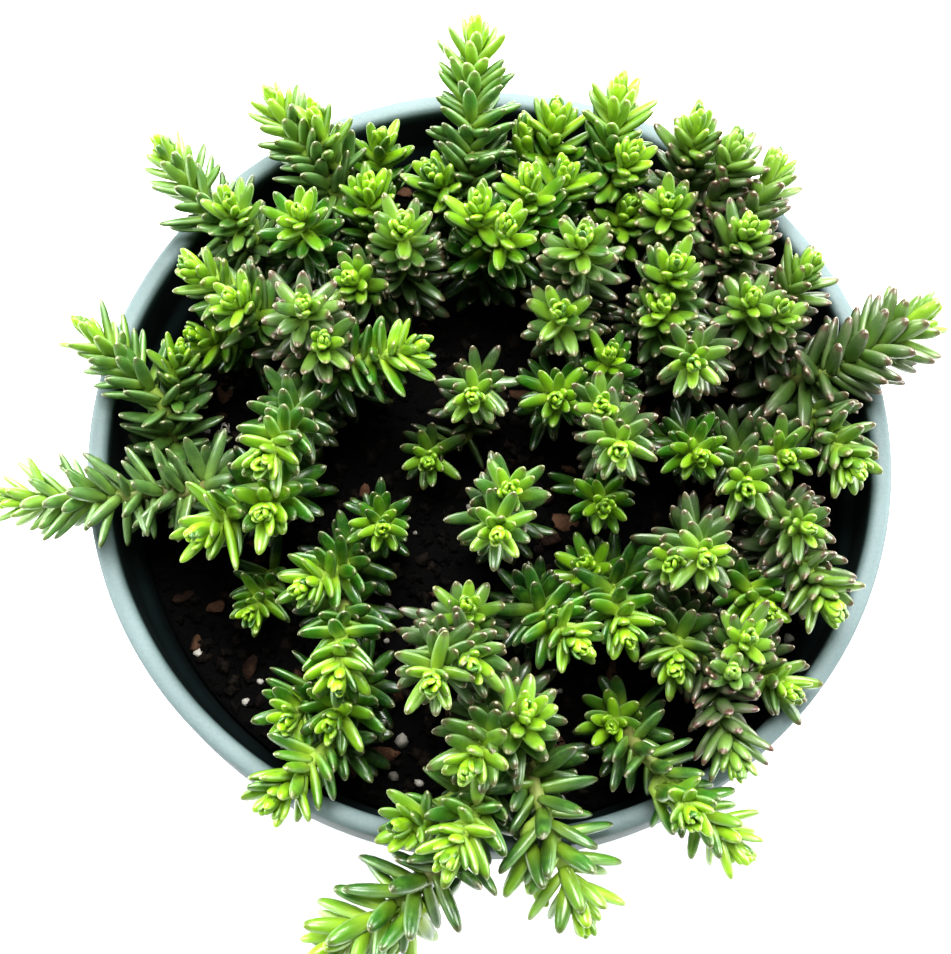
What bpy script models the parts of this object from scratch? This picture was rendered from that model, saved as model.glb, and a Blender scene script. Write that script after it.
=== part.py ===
"""A potted sedum: a plain tapered nursery pot, the soil that fills it and the leafy shoots rooted in it.

Metres, +Z up, with the origin in the middle of the pot's flat base. Lengths are written in
millimetres, and MM turns them into metres when a mesh is made.

Each shoot is grown from its root by extrusion. A square stem follows a curved path, leaf pairs come
off opposite faces of it and turn a quarter from one pair to the next, and a side shoot starts from a
free face of the stem. So a shoot is one closed surface, and a leaf that would touch its neighbours
is bent clear of them, shortened or left out.
"""

import math
from typing import NamedTuple

import bmesh
import bpy
import numpy as np
from mathutils.bvhtree import BVHTree

MM = 0.001

# Pot
RIM_HEIGHT = 92.0
RIM_RADIUS = 60.0
RIM_LIP = 3.0
RIM_ROUND = 1.0
SKIRT_HEIGHT = 11.0
SKIRT_STEP = 3.6
SKIRT_DRAFT = 0.08  # how much wider inside the skirt is for each millimetre of height
BASE_RADIUS = 42.0
WALL = 1.8
FLOOR = 2.6
POT_SIDES = 36
DRAIN_HOLES = 6
DRAIN_RADIUS = 4.0
DRAIN_CIRCLE = 29.0

# Soil
SOIL_DEPTH = 14.0  # from the rim down to the soil's edge
SOIL_MOUND = 3.0
SOIL_LUMP = 0.7  # how far a lump stands above or below the smooth surface
SOIL_RINGS = 6  # ring k has 6k points, so the last one has POT_SIDES
SOIL_SEED = 11
GAP = 0.3

# Stems
STEM_HALF = 0.62
TIP_HALF = 0.42
TIP_TAPER = 8.0  # how far below its tip a stem begins to thin
ROOT_DEPTH = 6.0
ROOT_SPACING = 4.6
ROOT_LIMIT = 48.5
ROOT_PASSES = 60
ROOT_RISE = 1.0  # how far over the soil a stem still goes straight up
RING_STEP = 7.0
RISE_REACH = 0.35  # share of a bare stem's length that its start and end directions hold for
CROWN_UP_TURN = 0.35
FORK_BAND = 1.3
FORK_DROP = 5.0
FORK_LEAD = 1.5  # how far a side shoot goes straight out before its first ring
FORK_RISE = 0.25  # how much a side shoot leans along its stem where it starts
FORK_BELOW_TIP = 5.0
FORK_CLEAR = 3.0  # how far from its fork a side shoot may still be close to the stem
BUD_HEIGHT = 1.1
STEM_CLEARANCE = 2.3  # between the middles of two stems
STEM_ROOM = 0.8  # radius of the room that a stem is given beside the pot and the soil
BENDS = (0.0, 2.0, 3.5, 5.0, 7.0)
BLOCKED_COST = 2.0

# Leaves, where an age of 1 is full grown
FIRST_PAIR = 1.05
PAIR_GROWTH = 0.26
WIDEST_PAIR = 2.6
PAIR_TWIST = math.radians(22)
TALL_FROM = 8.0
TALL_SHARE = 0.5
LEAF_LENGTH = 7.0
LEAF_WIDTH = 1.8
LEAF_TOP = 0.22
LEAF_KEEL = 0.75
LEAF_MIDDLE = 0.7  # where along its length a leaf is widest
YOUNGEST = 0.40
FULL_GROWN = 5.5  # below the tip
SPREAD_AT_TIP = 15.0
SPREAD_OPENING = 47.0
OPEN_BELOW = 6.5
SPREAD_OF_AGE = 22.0
AGED_FROM, AGED_OVER = 6.0, 14.0
LEAST_SPREAD = 12.0
CURL_AT_TIP = -8.0
CURL_OPENING = 22.0
CURLED_BELOW = 8.0
SPREAD_DRAW, LENGTH_DRAW, SIDEWAYS_DRAW = 5.0, 0.07, 4.0
LEAF_SEED = 11
LEAF_REACH = 0.55  # radius of the room that a leaf is given
LEAF_GAP = 0.42  # between a leaf and another stem or its leaves
PAIR_GAP = 0.02  # between a leaf and the leaves of its own stem
PAIR_REACH = 0.8  # share of LEAF_REACH that counts there
RING_STAND_OFF = 0.2
# Ways to place a leaf that is in the way: degrees aside, degrees further out, share of its length
TRIES = (
    (0, 0, 1.0), (0, -12, 1.0), (0, 12, 1.0), (14, 0, 1.0), (-14, 0, 1.0), (0, -22, 0.9), (16, -14, 0.85),
    (-16, -14, 0.85), (0, 0, 0.78), (0, -15, 0.7), (0, 16, 0.7), (22, 0, 0.7), (-22, 0, 0.7), (0, -8, 0.55),
)

# The view in which the shoots' places were read, 951 columns by 954 rows
VIEW_MIDDLE = (475.5, 477.0)
VIEW_FOCAL = 2025.0
VIEW_ELEVATION = math.radians(71.4)
VIEW_DISTANCE = 300.0
VIEW_AIM = (-2.1, -4.7)  # on the rim's plane


class Head(NamedTuple):
    """A leafy end: its tip and where its leaves begin, as column, row and height over the rim."""

    tip: tuple
    base: tuple


class Shoot(NamedTuple):
    """A rooted stem: the column and row of its root, its own head and those of its side shoots."""

    root: tuple
    head: Head
    sides: tuple = ()


SHOOTS = {
    "back_left_far": Shoot(
        (262, 262), Head((163, 148, 10), (215, 215, 4)),
        (Head((231, 203, 11), (240, 230, 4)),)),
    "back_left": Shoot(
        (345, 225), Head((272, 98, 14), (325, 178, 6)),
        (Head((316, 116, 15), (330, 162, 8)),)),
    "back_left_low": Shoot(
        (372, 262), Head((369, 184, 12), (371, 222, 4)),
        (Head((380, 138, 7), (377, 176, -1)),)),
    "back_left_rosette": Shoot((325, 275), Head((298, 212, 18), (306, 238, 8))),
    "back_spire": Shoot(
        (468, 225), Head((475, 30, 20), (470, 178, 8)),
        (Head((432, 172, 12), (452, 196, 4)),)),
    "back_middle": Shoot(
        (535, 215), Head((556, 112, 13), (550, 168, 4)),
        (Head((527, 128, 12), (528, 166, 5)),)),
    "back_right": Shoot(
        (592, 222), Head((621, 88, 16), (607, 165, 6)),
        (Head((632, 152, 14), (614, 184, 5)), Head((630, 205, 8), (618, 232, 0)))),
    "back_centre": Shoot(
        (530, 262), Head((530, 178, 18), (534, 220, 8)),
        (Head((565, 172, 13), (556, 206, 5)),)),
    "back_right_tall": Shoot(
        (668, 250), Head((697, 120, 15), (690, 178, 5)),
        (Head((668, 200, 14), (668, 226, 5)),)),
    "back_right_dark": Shoot((690, 240), Head((736, 142, 15), (715, 196, 6))),
    "back_right_far": Shoot(
        (705, 285), Head((774, 160, 12), (742, 232, 5)),
        (Head((750, 226, 14), (734, 252, 6)),)),
    "left_upper": Shoot(
        (285, 330), Head((190, 266, 14), (245, 298, 6)),
        (Head((230, 298, 17), (262, 318, 8)),)),
    "left_upper_low": Shoot((262, 352), Head((196, 336, 6), (238, 344, -1))),
    "upper_left_rosette": Shoot(
        (318, 390), Head((303, 306, 24), (304, 320, 14)),
        (Head((324, 340, 20), (318, 348, 11)),)),
    "upper_left_side": Shoot((345, 400), Head((418, 346, 20), (352, 362, 12))),
    "centre_back": Shoot(
        (470, 425), Head((474, 397, 18), (478, 385, 8)),
        (Head((428, 462, 2), (430, 452, -5)),)),
    "upper_middle_left": Shoot(
        (400, 315), Head((403, 222, 22), (404, 258, 11)),
        (Head((350, 278, 16), (368, 290, 7)),)),
    "upper_middle": Shoot(
        (482, 285), Head((478, 203, 18), (484, 242, 8)),
        (Head((506, 225, 20), (500, 252, 10)),)),
    "upper_middle_right": Shoot(
        (565, 330), Head((583, 236, 26), (577, 272, 13)),
        (Head((560, 310, 19), (563, 328, 9)),)),
    "centre_right_small": Shoot((598, 400), Head((610, 352, 14), (606, 374, 5))),
    "centre_back_right": Shoot((545, 420), Head((557, 398, 14), (558, 392, 5))),
    "centre_right": Shoot(
        (612, 470), Head((620, 450, 24), (617, 432, 15)),
        (Head((603, 405, 19), (602, 411, 9)),)),
    "right_upper": Shoot(
        (652, 355), Head((675, 264, 20), (668, 292, 11)),
        (Head((664, 302, 17), (661, 324, 8)),)),
    "right_rosette": Shoot((680, 395), Head((694, 365, 20), (691, 350, 10))),
    "right_upper_inner": Shoot((728, 345), Head((752, 297, 16), (745, 320, 6))),
    "right_upper_outer": Shoot(
        (745, 360), Head((784, 309, 15), (772, 330, 6)),
        (Head((812, 262, 12), (786, 296, 6)),)),
    "right_far": Shoot((770, 392), Head((922, 315, 8), (836, 368, 4))),
    "right_low": Shoot((790, 425), Head((858, 470, 10), (822, 424, 3))),
    "right_inner_low": Shoot((672, 455), Head((701, 456, 12), (690, 444, 3))),
    "right_inner": Shoot(
        (728, 455), Head((747, 488, 14), (741, 468, 5)),
        (Head((788, 456, 9), (775, 449, 1)),)),
    "left_high": Shoot(
        (175, 470), Head((85, 328, 9), (150, 388, 3)),
        (Head((180, 352, 7), (176, 392, -1)),)),
    "left_far": Shoot((215, 492), Head((10, 499, 6), (178, 492, 4))),
    "left_inner": Shoot((300, 440), Head((262, 462, 22), (289, 426, 14))),
    "left_lower": Shoot(
        (285, 500), Head((198, 534, 13), (240, 508, 7)),
        (Head((262, 512, 17), (274, 490, 9)),)),
    "left_lower_dim": Shoot((275, 580), Head((249, 614, 1), (263, 592, -5))),
    "lower_left_upper": Shoot((352, 572), Head((300, 588, 12), (336, 572, 6))),
    "centre_left": Shoot((380, 540), Head((382, 528, 10), (380, 518, 1))),
    "centre": Shoot(
        (505, 545), Head((498, 534, 26), (498, 520, 17)),
        (Head((509, 490, 23), (509, 498, 13)),)),
    "centre_right_low": Shoot((590, 500), Head((605, 507, 10), (600, 496, 1))),
    "lower_left": Shoot((352, 615), Head((338, 684, 16), (342, 636, 10))),
    "lower_left_low": Shoot(
        (362, 690), Head((330, 724, 10), (345, 700, 3)),
        (Head((287, 722, 8), (302, 708, 1)),)),
    "front_left": Shoot((345, 745), Head((272, 802, 10), (312, 762, 6))),
    "front_rosette": Shoot(
        (462, 640), Head((432, 684, 26), (440, 656, 17)),
        (Head((472, 664, 24), (464, 648, 16)), Head((467, 606, 17), (468, 624, 9)))),
    "front_middle": Shoot(
        (500, 720), Head((468, 770, 20), (490, 736, 14)),
        (Head((527, 712, 20), (516, 730, 12)),)),
    "front_over_rim": Shoot(
        (488, 795), Head((450, 856, 16), (470, 820, 11)),
        (Head((401, 826, 11), (428, 822, 6)),)),
    "front_trail_left": Shoot(
        (462, 790), Head((328, 950, -4), (436, 872, 5)),
        (Head((394, 934, -8), (406, 914, -3)),)),
    "front_trail_middle": Shoot(
        (528, 770), Head((583, 916, 0), (545, 816, 7)),
        (Head((540, 884, -2), (534, 852, 2)),)),
    "front_inner_left": Shoot((535, 620), Head((578, 646, 16), (553, 622, 10))),
    "front_inner_right": Shoot(
        (612, 590), Head((628, 637, 14), (618, 606, 8)),
        (Head((585, 564, 4), (596, 578, -4)),)),
    "right_lower": Shoot((768, 515), Head((808, 528, 12), (790, 520, 4))),
    "right_fan": Shoot((775, 560), Head((834, 612, 12), (800, 560, 6))),
    "right_middle": Shoot(
        (688, 560), Head((706, 558, 22), (696, 546, 12)),
        (Head((672, 563, 19), (680, 554, 11)),)),
    "right_lower_inner": Shoot((730, 580), Head((765, 612, 8), (746, 586, 1))),
    "front_right_inner": Shoot((672, 625), Head((675, 668, 12), (678, 638, 6))),
    "front_right_outer": Shoot(
        (735, 655), Head((792, 692, 7), (756, 670, 1)),
        (Head((749, 637, 14), (738, 650, 6)),)),
    "front_right_dark": Shoot(
        (700, 650), Head((738, 768, 8), (712, 676, 6)),
        (Head((733, 672, 15), (730, 674, 8)),)),
    "front_trail_right": Shoot(
        (630, 740), Head((742, 852, 3), (650, 760, 6)),
        (Head((692, 815, 13), (686, 800, 8.5)), Head((612, 726, 3), (619, 715, -5)))),
}


def unit(vector):
    return vector / np.linalg.norm(vector)


def turned(vector, axis, angle):
    """The vector turned about a unit axis."""
    along = axis * np.dot(axis, vector)
    flat = vector - along
    return along + flat * math.cos(angle) + np.cross(axis, flat) * math.sin(angle)


def smooth(value):
    value = min(max(value, 0.0), 1.0)
    return value * value * (3 - 2 * value)


def seen_at(column, row, height):
    """The point this high over the rim's plane that the view shows at a column and row."""
    rise, run = math.sin(VIEW_ELEVATION), math.cos(VIEW_ELEVATION)
    ahead = np.array([0.0, run, -rise])
    above = np.array([0.0, rise, run])
    eye = np.array([*VIEW_AIM, 0.0]) - ahead * VIEW_DISTANCE
    right = np.array([1.0, 0.0, 0.0])
    aside = (column - VIEW_MIDDLE[0]) / VIEW_FOCAL
    ray = ahead + right * aside + above * (VIEW_MIDDLE[1] - row) / VIEW_FOCAL
    point = eye + ray * (height - eye[2]) / ray[2]
    return point + np.array([0.0, 0.0, RIM_HEIGHT])


def wall_inside(height):
    """The pot's inner radius at a height over its base."""
    wall_top = RIM_HEIGHT - SKIRT_HEIGHT
    tapered = BASE_RADIUS - WALL + (RIM_RADIUS - SKIRT_STEP - BASE_RADIUS) * height / wall_top
    lip = RIM_RADIUS - RIM_LIP
    return min(tapered, lip) if height < wall_top else lip - SKIRT_DRAFT * (RIM_HEIGHT - height)


def ground(x, y):
    """The soil's height at a place, without its lumps."""
    share = (x * x + y * y) / wall_inside(RIM_HEIGHT - SOIL_DEPTH) ** 2
    return RIM_HEIGHT - SOIL_DEPTH + SOIL_MOUND * (1 - share)


def in_the_way(point, radius):
    """Whether a ball there would touch the pot or the soil."""
    x, y, z = point
    across = math.hypot(x, y)
    room = radius + GAP
    if across < wall_inside(min(max(z, 0.0), RIM_HEIGHT)) - room:
        return z < ground(x, y) + SOIL_LUMP + room
    return across < RIM_RADIUS + room and z < RIM_HEIGHT + room


def bezier(a, b, c, d, count=24):
    """Points along a cubic curve."""
    t = np.linspace(0, 1, count)[:, None]
    return a * (1 - t) ** 3 + 3 * b * t * (1 - t) ** 2 + 3 * c * t * t * (1 - t) + d * t**3


class Path:
    """A curve read by the distance along it."""

    def __init__(self, points):
        self.points = np.array(points)
        steps = np.linalg.norm(np.diff(self.points, axis=0), axis=1)
        self.distances = np.concatenate([[0.0], np.cumsum(steps)])
        self.length = self.distances[-1]

    def at(self, distance):
        return np.array([np.interp(distance, self.distances, self.points[:, i]) for i in range(3)])

    def heading(self, distance):
        return unit(self.at(min(distance + 0.5, self.length)) - self.at(max(distance - 0.5, 0.0)))


def segment_gaps(start, end, starts, ends):
    """The distance from one segment to each of many."""
    own, other = end - start, ends - starts
    between = start - starts
    a = max(own @ own, 1e-9)
    e = np.maximum((other * other).sum(axis=1), 1e-9)
    b, c, f = other @ own, between @ own, (other * between).sum(axis=1)
    s = np.clip((b * f - c * e) / np.maximum(a * e - b * b, 1e-9), 0, 1)
    t = np.clip((b * s + f) / e, 0, 1)
    s = np.clip((b * t - c) / a, 0, 1)
    return np.linalg.norm(between + own * s[:, None] - other * t[:, None], axis=1)


class Room:
    """The segments already taken up, each with its radius and its shoot."""

    def __init__(self):
        self.starts, self.ends, self.radii, self.owners = [], [], [], []

    def take(self, points, radius, shoot, branch=0, near_stem=False):
        for start, end in zip(points, points[1:]):
            self.starts.append(start)
            self.ends.append(end)
            self.radii.append(radius)
            self.owners.append((shoot, branch, near_stem))

    def of_others(self, shoot):
        return np.array([owner[0] != shoot for owner in self.owners], bool)

    def of_other_branches(self, shoot, branch):
        return np.array([owner[0] == shoot and owner[1] != branch for owner in self.owners], bool)

    def of_branch(self, shoot, branch):
        """The branch's own stem and the outer parts of its leaves."""
        return np.array([owner == (shoot, branch, False) for owner in self.owners], bool)

    def gap(self, points, radius, chosen):
        """The least gap from a line of this radius to the segments that are chosen."""
        if not len(self.starts) or not chosen.any():
            return math.inf
        starts, ends = np.array(self.starts)[chosen], np.array(self.ends)[chosen]
        radii = np.array(self.radii)[chosen]
        gaps = [segment_gaps(p, q, starts, ends) - radii - radius for p, q in zip(points, points[1:])]
        return float(np.min(gaps))


class Branch:
    """A stem from a root or a fork to its tip, with the rings that its surface runs through."""

    def __init__(self, path, crown, forks, across, root):
        self.path, self.crown, self.root = path, crown, root
        self.leafy = []
        self.distances = self.ring_distances(forks)
        self.frames = []
        for index, mark in enumerate(self.distances):
            heading = path.heading(mark)
            across = unit(across - heading * (across @ heading))
            if index and self.leafy[index - 1]:
                across = turned(across, heading, PAIR_TWIST)
            left = path.length - mark
            half = TIP_HALF + (STEM_HALF - TIP_HALF) * smooth(left / TIP_TAPER)
            self.frames.append((path.at(mark), heading, across, np.cross(heading, across), half))

    def ring_distances(self, forks):
        """Distances of the rings along the path. It fills leafy, which says which bands carry a pair."""
        pairs = [self.path.length - BUD_HEIGHT]
        spacing = FIRST_PAIR
        while self.path.length - pairs[-1] + spacing < self.crown + BUD_HEIGHT:
            pairs.append(pairs[-1] - spacing)
            spacing = min(spacing + PAIR_GROWTH, WIDEST_PAIR)
        pairs.reverse()
        low = ROOT_DEPTH + ROOT_RISE if self.root else FORK_LEAD
        plain = [0.0, low]
        bare = [fork for fork in forks if fork < pairs[0] - FORK_BAND]
        cuts = [fork + half for fork in bare for half in (-FORK_BAND / 2, FORK_BAND / 2)]
        stops = sorted([low, *cuts, max(pairs[0], low + FORK_BAND)])
        for begin, end in zip(stops, stops[1:]):
            count = max(1, round((end - begin) / RING_STEP))
            plain += [begin + (end - begin) * (i + 1) / count for i in range(count)]
        self.leafy = [False] * (len(plain) - 1) + [True] * (len(pairs) - 1)
        return plain + pairs[1:]


def crown_points(base, tip):
    """The leafy end of a shoot, which turns up a little towards the light."""
    length = np.linalg.norm(tip - base)
    lean = unit(tip - base)
    up_turn = unit(lean + np.array([0.0, 0.0, CROWN_UP_TURN]))
    return bezier(base, base + lean * length / 3, tip - up_turn * length / 3, tip)


def rise_points(start, heading, base, tip, bend):
    """The bare stem from where it starts to its first leaves."""
    run = np.linalg.norm(base - start)
    lean = unit(tip - base)
    lead = start + heading * FORK_LEAD
    reach = run * RISE_REACH
    rise = bezier(lead, lead + heading * reach + bend, base - lean * reach + bend, base)
    return np.concatenate([[start], rise])


def bends():
    """Ways to bend a stem aside, the smallest first: level ones all round, then straight up."""
    for size in BENDS:
        for step in range(8 if size else 1):
            angle = step * math.pi / 4
            yield np.array([math.cos(angle), math.sin(angle), 0.0]) * size
        yield np.array([0.0, 0.0, size])


def clear_route(start, heading, head, owner, room):
    """The route to a head that bends least among those that keep clear of the stems already there."""
    base, tip = seen_at(*head.base), seen_at(*head.tip)
    best, best_gap = None, -math.inf
    for bend in bends():
        rise = rise_points(start, heading, base, tip, bend)
        points = np.concatenate([rise, crown_points(base, tip)[1:]])
        gap = room.gap(points[2::3], 0.0, room.of_others(owner)) - STEM_CLEARANCE
        away = points[np.linalg.norm(points - start, axis=1) > FORK_CLEAR]
        gap = min(gap, room.gap(away[::3], 0.0, room.of_other_branches(owner, -1)) - STEM_CLEARANCE)
        gap -= BLOCKED_COST * sum(in_the_way(point, STEM_ROOM) for point in points[8:])
        if gap >= 0:
            return points
        if gap > best_gap:
            best, best_gap = points, gap
    return best


def spread_roots():
    """Each shoot's root on the soil, with those that stand too close moved apart."""
    level = SOIL_MOUND / 2 - SOIL_DEPTH
    roots = np.array([seen_at(*shoot.root, level)[:2] for shoot in SHOOTS.values()])
    for _ in range(ROOT_PASSES):
        for i in range(len(roots)):
            for j in range(i):
                between = roots[i] - roots[j]
                distance = max(np.linalg.norm(between), 0.01)
                if distance < ROOT_SPACING:
                    push = between / distance * (ROOT_SPACING - distance) / 2
                    roots[i] += push
                    roots[j] -= push
        away = np.linalg.norm(roots, axis=1)
        roots *= np.minimum(1.0, ROOT_LIMIT / away)[:, None]
    return dict(zip(SHOOTS, roots))


def fork_distance(path, side):
    """Where a side shoot leaves a stem: near its first leaves, but far enough back for it to curve."""
    base = seen_at(*side.base)
    marks = np.linspace(ROOT_DEPTH + 3.0, path.length - FORK_BELOW_TIP, 30)
    cost = []
    for mark in marks:
        way = base - path.at(mark)
        along = way @ path.heading(mark)
        cost.append(np.linalg.norm(way) + 3.0 * max(FORK_DROP - along, 0.0))
    return marks[int(np.argmin(cost))]


def leafy_length(head):
    """How much of a stem carries leaves. A tall shoot is leafy for longer, so that no bare stalk shows."""
    length = float(np.linalg.norm(seen_at(*head.tip) - seen_at(*head.base)))
    return length + TALL_SHARE * max(head.base[2] - TALL_FROM, 0.0)


def grow_stems():
    """Every shoot's branches: its own, then its side shoots with the band and face that they leave from."""
    room = Room()
    grown = {}
    up = np.array([0.0, 0.0, 1.0])
    for name, root in spread_roots().items():
        shoot = SHOOTS[name]
        deep = np.array([*root, ground(*root) - ROOT_DEPTH])
        surface = deep + up * (ROOT_DEPTH + ROOT_RISE)
        route = clear_route(surface, up, shoot.head, name, room)
        points = np.concatenate([[deep, (deep + surface) / 2], route])
        path = Path(points)
        forks = spaced([fork_distance(path, side) for side in shoot.sides])
        main = Branch(path, leafy_length(shoot.head), forks, np.array([1.0, 0.0, 0.0]), True)
        room.take(points[::4], 0.0, name)
        branches = [(main, None, None)]
        for side, fork in zip(shoot.sides, forks):
            band, face, start, normal, axis = fork_face(main, fork, side, [b[1:] for b in branches])
            route = clear_route(start, unit(normal + FORK_RISE * axis), side, name, room)
            branches.append((Branch(Path(route), leafy_length(side), [], -axis, False), band, face))
            room.take(route[::4], 0.0, name)
        grown[name] = branches
    return grown


def spaced(forks):
    """The forks, with two that fall on the same stretch of stem moved apart."""
    order = sorted(range(len(forks)), key=lambda i: forks[i])
    moved = list(forks)
    for lower, upper in zip(order, order[1:]):
        moved[lower] = min(moved[lower], moved[upper] - 2 * FORK_BAND)
    return moved


def leaf_faces(band):
    """The two opposite stem faces that carry leaves, which take turns from band to band."""
    return (0, 2) if band % 2 else (1, 3)


def fork_face(main, fork, side, used):
    """The band at a fork and the face of it that looks most towards the side shoot."""
    away = [abs((a + b) / 2 - fork) for a, b in zip(main.distances, main.distances[1:])]
    band = int(np.argmin(away))
    low, high = main.frames[band], main.frames[band + 1]
    middle = (low[0] + high[0]) / 2
    axis = unit(high[0] - low[0])
    wanted = seen_at(*side.base) - middle
    normals = [low[2], low[3], -low[2], -low[3]]
    taken = leaf_faces(band) if main.leafy[band] else ()
    free = [i for i in range(4) if (band, i) not in used and i not in taken]
    face = max(free, key=lambda i: normals[i] @ wanted)
    return band, face, middle + normals[face] * low[4], normals[face], axis


class Leaf(NamedTuple):
    """A leaf where it is widest, its point, the ways across and out of its upper side, and its age."""

    middle: np.ndarray
    point: np.ndarray
    across: np.ndarray
    upper: np.ndarray
    age: float


def leaf_on(foot, normal, axis, age, length, spread, sideways, curl):
    """A leaf that leaves a stem face at an angle from the stem's axis and bends a little on its way."""
    out = turned(normal, axis, sideways)
    across = np.cross(axis, out)
    rising = turned(axis, across, spread)
    bent = turned(axis, across, spread + curl)
    middle = foot + rising * length * LEAF_MIDDLE
    point = middle + bent * length * (1 - LEAF_MIDDLE)
    return Leaf(middle, point, across, np.cross(unit(rising + bent), across), age)


def clear_leaf(foot, normal, axis, below, branch, room, draw):
    """The first of a leaf's positions that touches nothing, or None."""
    age = YOUNGEST + (1 - YOUNGEST) * smooth(below / FULL_GROWN)
    spread = SPREAD_AT_TIP + SPREAD_OPENING * smooth(below / OPEN_BELOW) + SPREAD_DRAW * draw.normal()
    spread += SPREAD_OF_AGE * smooth((below - AGED_FROM) / AGED_OVER)
    length = LEAF_LENGTH * age * (1 + LENGTH_DRAW * draw.normal())
    curl = math.radians(CURL_AT_TIP + CURL_OPENING * smooth(below / CURLED_BELOW))
    sideways = math.radians(SIDEWAYS_DRAW * draw.normal())
    reach = LEAF_REACH * age
    others = room.of_others(branch[0])
    beside = room.of_other_branches(*branch)
    same = room.of_branch(*branch)
    for aside, further, share in TRIES:
        angle = math.radians(max(spread + further, LEAST_SPREAD))
        turn = sideways + math.radians(aside)
        leaf = leaf_on(foot, normal, axis, age, length * share, angle, turn, curl)
        line = [foot, leaf.middle, leaf.point]
        outer = [foot + (leaf.middle - foot) * 0.3, leaf.middle, leaf.point]
        if in_the_way(leaf.middle, reach + 0.2) or in_the_way(leaf.point, reach):
            continue
        if in_the_way((leaf.middle + leaf.point) / 2, reach):
            continue
        if room.gap(outer, reach, others) < LEAF_GAP or room.gap(line, reach, beside) < LEAF_GAP:
            continue
        if room.gap(line[1:], reach * PAIR_REACH, same) < PAIR_GAP:
            continue
        return leaf
    return None


def stands_off(leaf, foot, normal):
    """Whether all of a leaf's widest ring is outside the face that it grows from."""
    return min((corner - foot) @ normal for corner in leaf_ring(leaf)) > RING_STAND_OFF


def stems_in_the_way(grown):
    """Room in which every stem is already taken up."""
    room = Room()
    for name, branches in grown.items():
        for number, (branch, _, _) in enumerate(branches):
            middles = [frame[0] for frame in branch.frames]
            room.take([*middles, branch.path.at(branch.path.length)], STEM_HALF, name, number)
    return room


def grow_leaves(grown):
    """The leaves of every branch, by shoot, branch, band and face."""
    room = stems_in_the_way(grown)
    draw = np.random.default_rng(LEAF_SEED)
    leaves = {}
    for name, branches in grown.items():
        for number, (branch, _, _) in enumerate(branches):
            for band in reversed([band for band, leafy in enumerate(branch.leafy) if leafy]):
                for face in leaf_faces(band):
                    leaf = grow_leaf(branch, band, face, (name, number), room, draw)
                    if leaf is not None:
                        leaves[name, number, band, face] = leaf
    return leaves


def grow_leaf(branch, band, face, owner, room, draw):
    """A leaf on one face of a stem, in the room that is left, or None."""
    low, high = branch.frames[band], branch.frames[band + 1]
    axis = unit(high[0] - low[0])
    below = branch.path.length - (branch.distances[band] + branch.distances[band + 1]) / 2
    quad = face_points(low, high, face)
    normal = unit(np.cross(quad[2] - quad[0], quad[3] - quad[1]))
    foot = sum(quad) / 4
    leaf = clear_leaf(foot, unit(normal - axis * (normal @ axis)), axis, below, owner, room, draw)
    if leaf is None or not stands_off(leaf, foot, normal):
        return None
    half = (foot + leaf.middle) / 2
    room.take([foot, half], LEAF_REACH * leaf.age, *owner, near_stem=True)
    room.take([half, leaf.middle, leaf.point], LEAF_REACH * leaf.age, *owner)
    return leaf


def face_points(low, high, face):
    """The corners of one stem face between two rings, the lower ones first."""
    lower, upper = ring_points(low), ring_points(high)
    after = (face + 1) % 4
    return [lower[face], lower[after], upper[after], upper[face]]


def leaf_ring(leaf):
    """The left edge, right edge and keel of a leaf where it is widest."""
    wide = LEAF_WIDTH / 2 * leaf.age
    top = leaf.middle + leaf.upper * LEAF_TOP
    keel = leaf.middle - leaf.upper * LEAF_KEEL * leaf.age
    return [top - leaf.across * wide, top + leaf.across * wide, keel]


def ring_points(frame):
    """The corners of a stem's square ring."""
    middle, _, across, other, half = frame
    corners = ((1, -1), (1, 1), (-1, 1), (-1, -1))
    return [middle + across * half * i + other * half * j for i, j in corners]


def add_leaf(mesh, quad, leaf):
    """Pulls a leaf out of a stem face: flat above, keeled below, blunt at the end. It returns the faces."""
    low_left, low_right, high_right, high_left = quad
    left, right, keel = [mesh.verts.new(corner) for corner in leaf_ring(leaf)]
    point = mesh.verts.new(leaf.point)
    around = (
        (high_left, high_right, right, left), (high_right, low_right, keel, right),
        (low_left, high_left, left, keel), (low_right, low_left, keel),
        (left, right, point), (right, keel, point), (keel, left, point),
    )
    return [mesh.faces.new(corners[::-1]) for corners in around]


def add_branch(mesh, branch, start, leaves, forks, number, leaf_of):
    """Grows a branch from its first four vertices and notes in leaf_of which faces are a leaf's.

    It returns the four vertices at each fork's face.
    """
    rings = [start]
    for frame in branch.frames[1:]:
        rings.append([mesh.verts.new(point) for point in ring_points(frame)])
    kept = {}
    for band, (low, high) in enumerate(zip(rings, rings[1:])):
        for face in range(4):
            after = (face + 1) % 4
            quad = (low[face], low[after], high[after], high[face])
            if (band, face) in forks:
                kept[band, face] = quad
            elif (number, band, face) in leaves:
                for made in add_leaf(mesh, quad, leaves[number, band, face]):
                    leaf_of[made] = (number, band, face)
            else:
                mesh.faces.new(quad)
    bud = mesh.verts.new(branch.path.at(branch.path.length))
    for face in range(4):
        mesh.faces.new((rings[-1][face], rings[-1][(face + 1) % 4], bud))
    return kept


def material(name, colour, roughness):
    """A Principled material of one colour."""
    made = bpy.data.materials.new(name)
    made.use_nodes = True
    shader = made.node_tree.nodes["Principled BSDF"]
    shader.inputs["Base Color"].default_value = (*colour, 1.0)
    shader.inputs["Roughness"].default_value = roughness
    shader.inputs["Metallic"].default_value = 0.0
    return made


def add_object(name, mesh, finish):
    """Makes an object of a bmesh drawn in millimetres."""
    bmesh.ops.scale(mesh, vec=(MM, MM, MM), verts=mesh.verts)
    data = bpy.data.meshes.new(name)
    mesh.to_mesh(data)
    mesh.free()
    data.materials.append(finish)
    made = bpy.data.objects.new(name, data)
    bpy.context.scene.collection.objects.link(made)
    return made


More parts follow.
